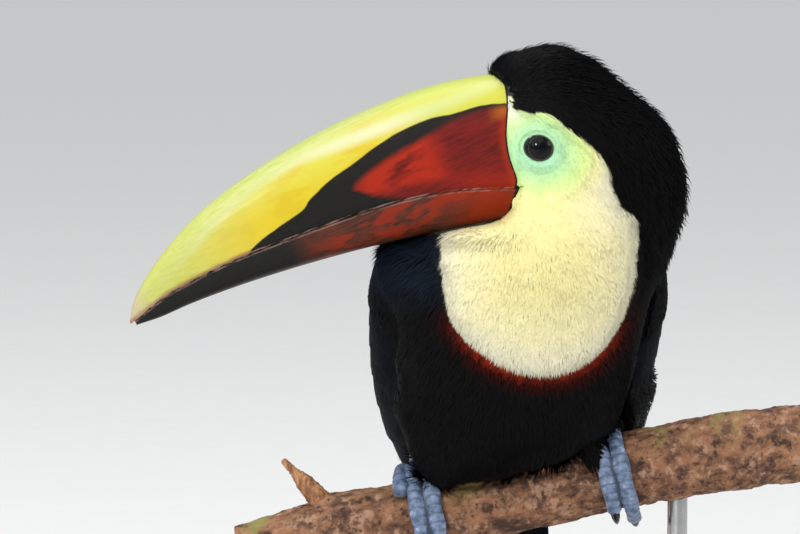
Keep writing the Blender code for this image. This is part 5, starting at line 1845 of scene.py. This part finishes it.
# A tuft that would pass out through a wing from beneath is left off.
wings = trees_of(COVERING[:2])
kept = np.ones(count, bool)
for k in np.nonzero((space < 1) & (flank < 0.3) & ~on_wing)[0].tolist():
    start, long_way = Vector(roots[k] + 0.0002 * normals[k]), Vector(tips[k] - roots[k])
    hits = (tree.ray_cast(start, long_way.normalized(), long_way.length)[0] for tree in wings)
    kept[k] = not any(hit is not None for hit in hits)
colours = plumage_colour(roots + 0.62 * (tips - roots))
shade = chance.normal(1.0, 0.05, count)[:, None] * (1 + 0.05 * ripples(roots, 0.008, 91))[:, None]
colours = np.clip(colours * shade, 0, 0.95)


def tufts(name, chosen, finish):
    """One mesh of three-sided curved spikes for the chosen roots."""
    total = int(chosen.sum())
    root, middle, tip = roots[chosen], middles[chosen], tips[chosen]
    across, out = across_ways[chosen], normals[chosen]
    half = (wide_mm[chosen] / 2 * MM)[:, None]
    sunk = root - 0.0003 * out
    spine_out = out * half * 0.9
    rings = [
        sunk - 0.7 * half * across, sunk + 0.7 * spine_out, sunk + 0.7 * half * across,
        middle - half * across, middle + spine_out, middle + half * across, tip,
    ]
    points = np.stack(rings, 1).reshape(-1, 3)
    base = np.arange(total)[:, None] * 7
    quads = np.concatenate([base + np.array(q) for q in ((3, 4, 1, 0), (4, 5, 2, 1), (5, 3, 0, 2))])
    points_up = np.concatenate([base + np.array(t) for t in ((6, 4, 3), (6, 5, 4), (6, 3, 5), (0, 1, 2))])
    spread = np.array(((-1, 0), (0, 0), (1, 0), (-1, 0.5), (0, 0.5), (1, 0.5), (0, 1))) - (0, 0.5)
    bake_map = root_places[chosen][:, None, :] + spread * (BAKE_PATCH / 2, BAKE_PATCH)
    values = {"tip": np.tile((0, 0, 0, 0.5, 0.5, 0.5, 1.0), total)}
    round_over = (ROUNDNESS * (1 - 0.6 * regions["light"][chosen]))[:, None] * across
    leans = [out - round_over, out, out + round_over] * 2 + [out + 0.3 * ways[chosen]]
    leans = unit(np.stack(leans, 1).reshape(-1, 3))
    tint = np.repeat(colours[chosen], 7, 0)
    piece = mesh_of(name, points, [quads, points_up], values, bake_map.reshape(-1, 2), tint, leans)
    return finish_piece(piece, name, finish, [])


def plumage_finish(name, **values):
    finish, tree, shader = new_finish(name, **values)
    marking_and_sheen = marking_of(tree)
    tip = value_of(tree, "tip")
    # Each tuft is painted darker towards its root, as shade among the tufts.
    coat_colour = between(tree, step(tree, tip, 0.0, 0.8), (0.88, 0.86, 0.82), (1.0, 1.0, 1.0))
    strands = noise(tree, place_of(tree), 800.0, 2.0)
    coat_colour = between(tree, 1.0, marking_and_sheen, coat_colour, "MULTIPLY")
    lit = between(tree, strands, (0.88, 0.88, 0.88), (1.08, 1.08, 1.08))
    coat_colour = between(tree, 1.0, coat_colour, lit, "MULTIPLY")
    wire(tree, shader, coat_colour, (strands, 0.2, 0.42), (strands, 0.00005))
    return finish, shader


coat_finish, _ = plumage_finish("soft_plumage", Roughness=0.52, Specular_IOR_Level=0.05)
light_finish, shader = plumage_finish("soft_pale_plumage", Roughness=0.6, Specular_IOR_Level=0.08)
glow_through(shader, 0.15, (1.0, 0.95, 0.8), 0.0004)

front = from_grip(roots)
axes = head_axes(roots)
light = (regions["light"] > 0.5) & ~on_wing
head = (front[:, 2] > 100) & ~on_wing
low = front[:, 2] < 30
ahead = front[:, 1] < 8
groups = {
    "plumage_bib_upper": light & (front[:, 2] >= 118),
    "plumage_bib_middle": light & (front[:, 2] >= 98) & (front[:, 2] < 118),
    "plumage_bib_lower": light & (front[:, 2] < 98),
    "plumage_crown": ~light & head & (axes[:, 2] >= 14),
    "plumage_nape": ~light & head & (axes[:, 2] < 14),
    "plumage_breast": ~light & ~head & ~low & ahead & ~on_wing,
    "plumage_back": ~light & ~head & ~low & ~ahead & ~on_wing,
    "plumage_belly": ~light & low & ahead,
    "plumage_rump": ~light & low & ~ahead,
    "plumage_shoulders": on_wing,
}
for name, chosen in groups.items():
    tufts(name, chosen & kept, light_finish if "bib" in name else coat_finish)
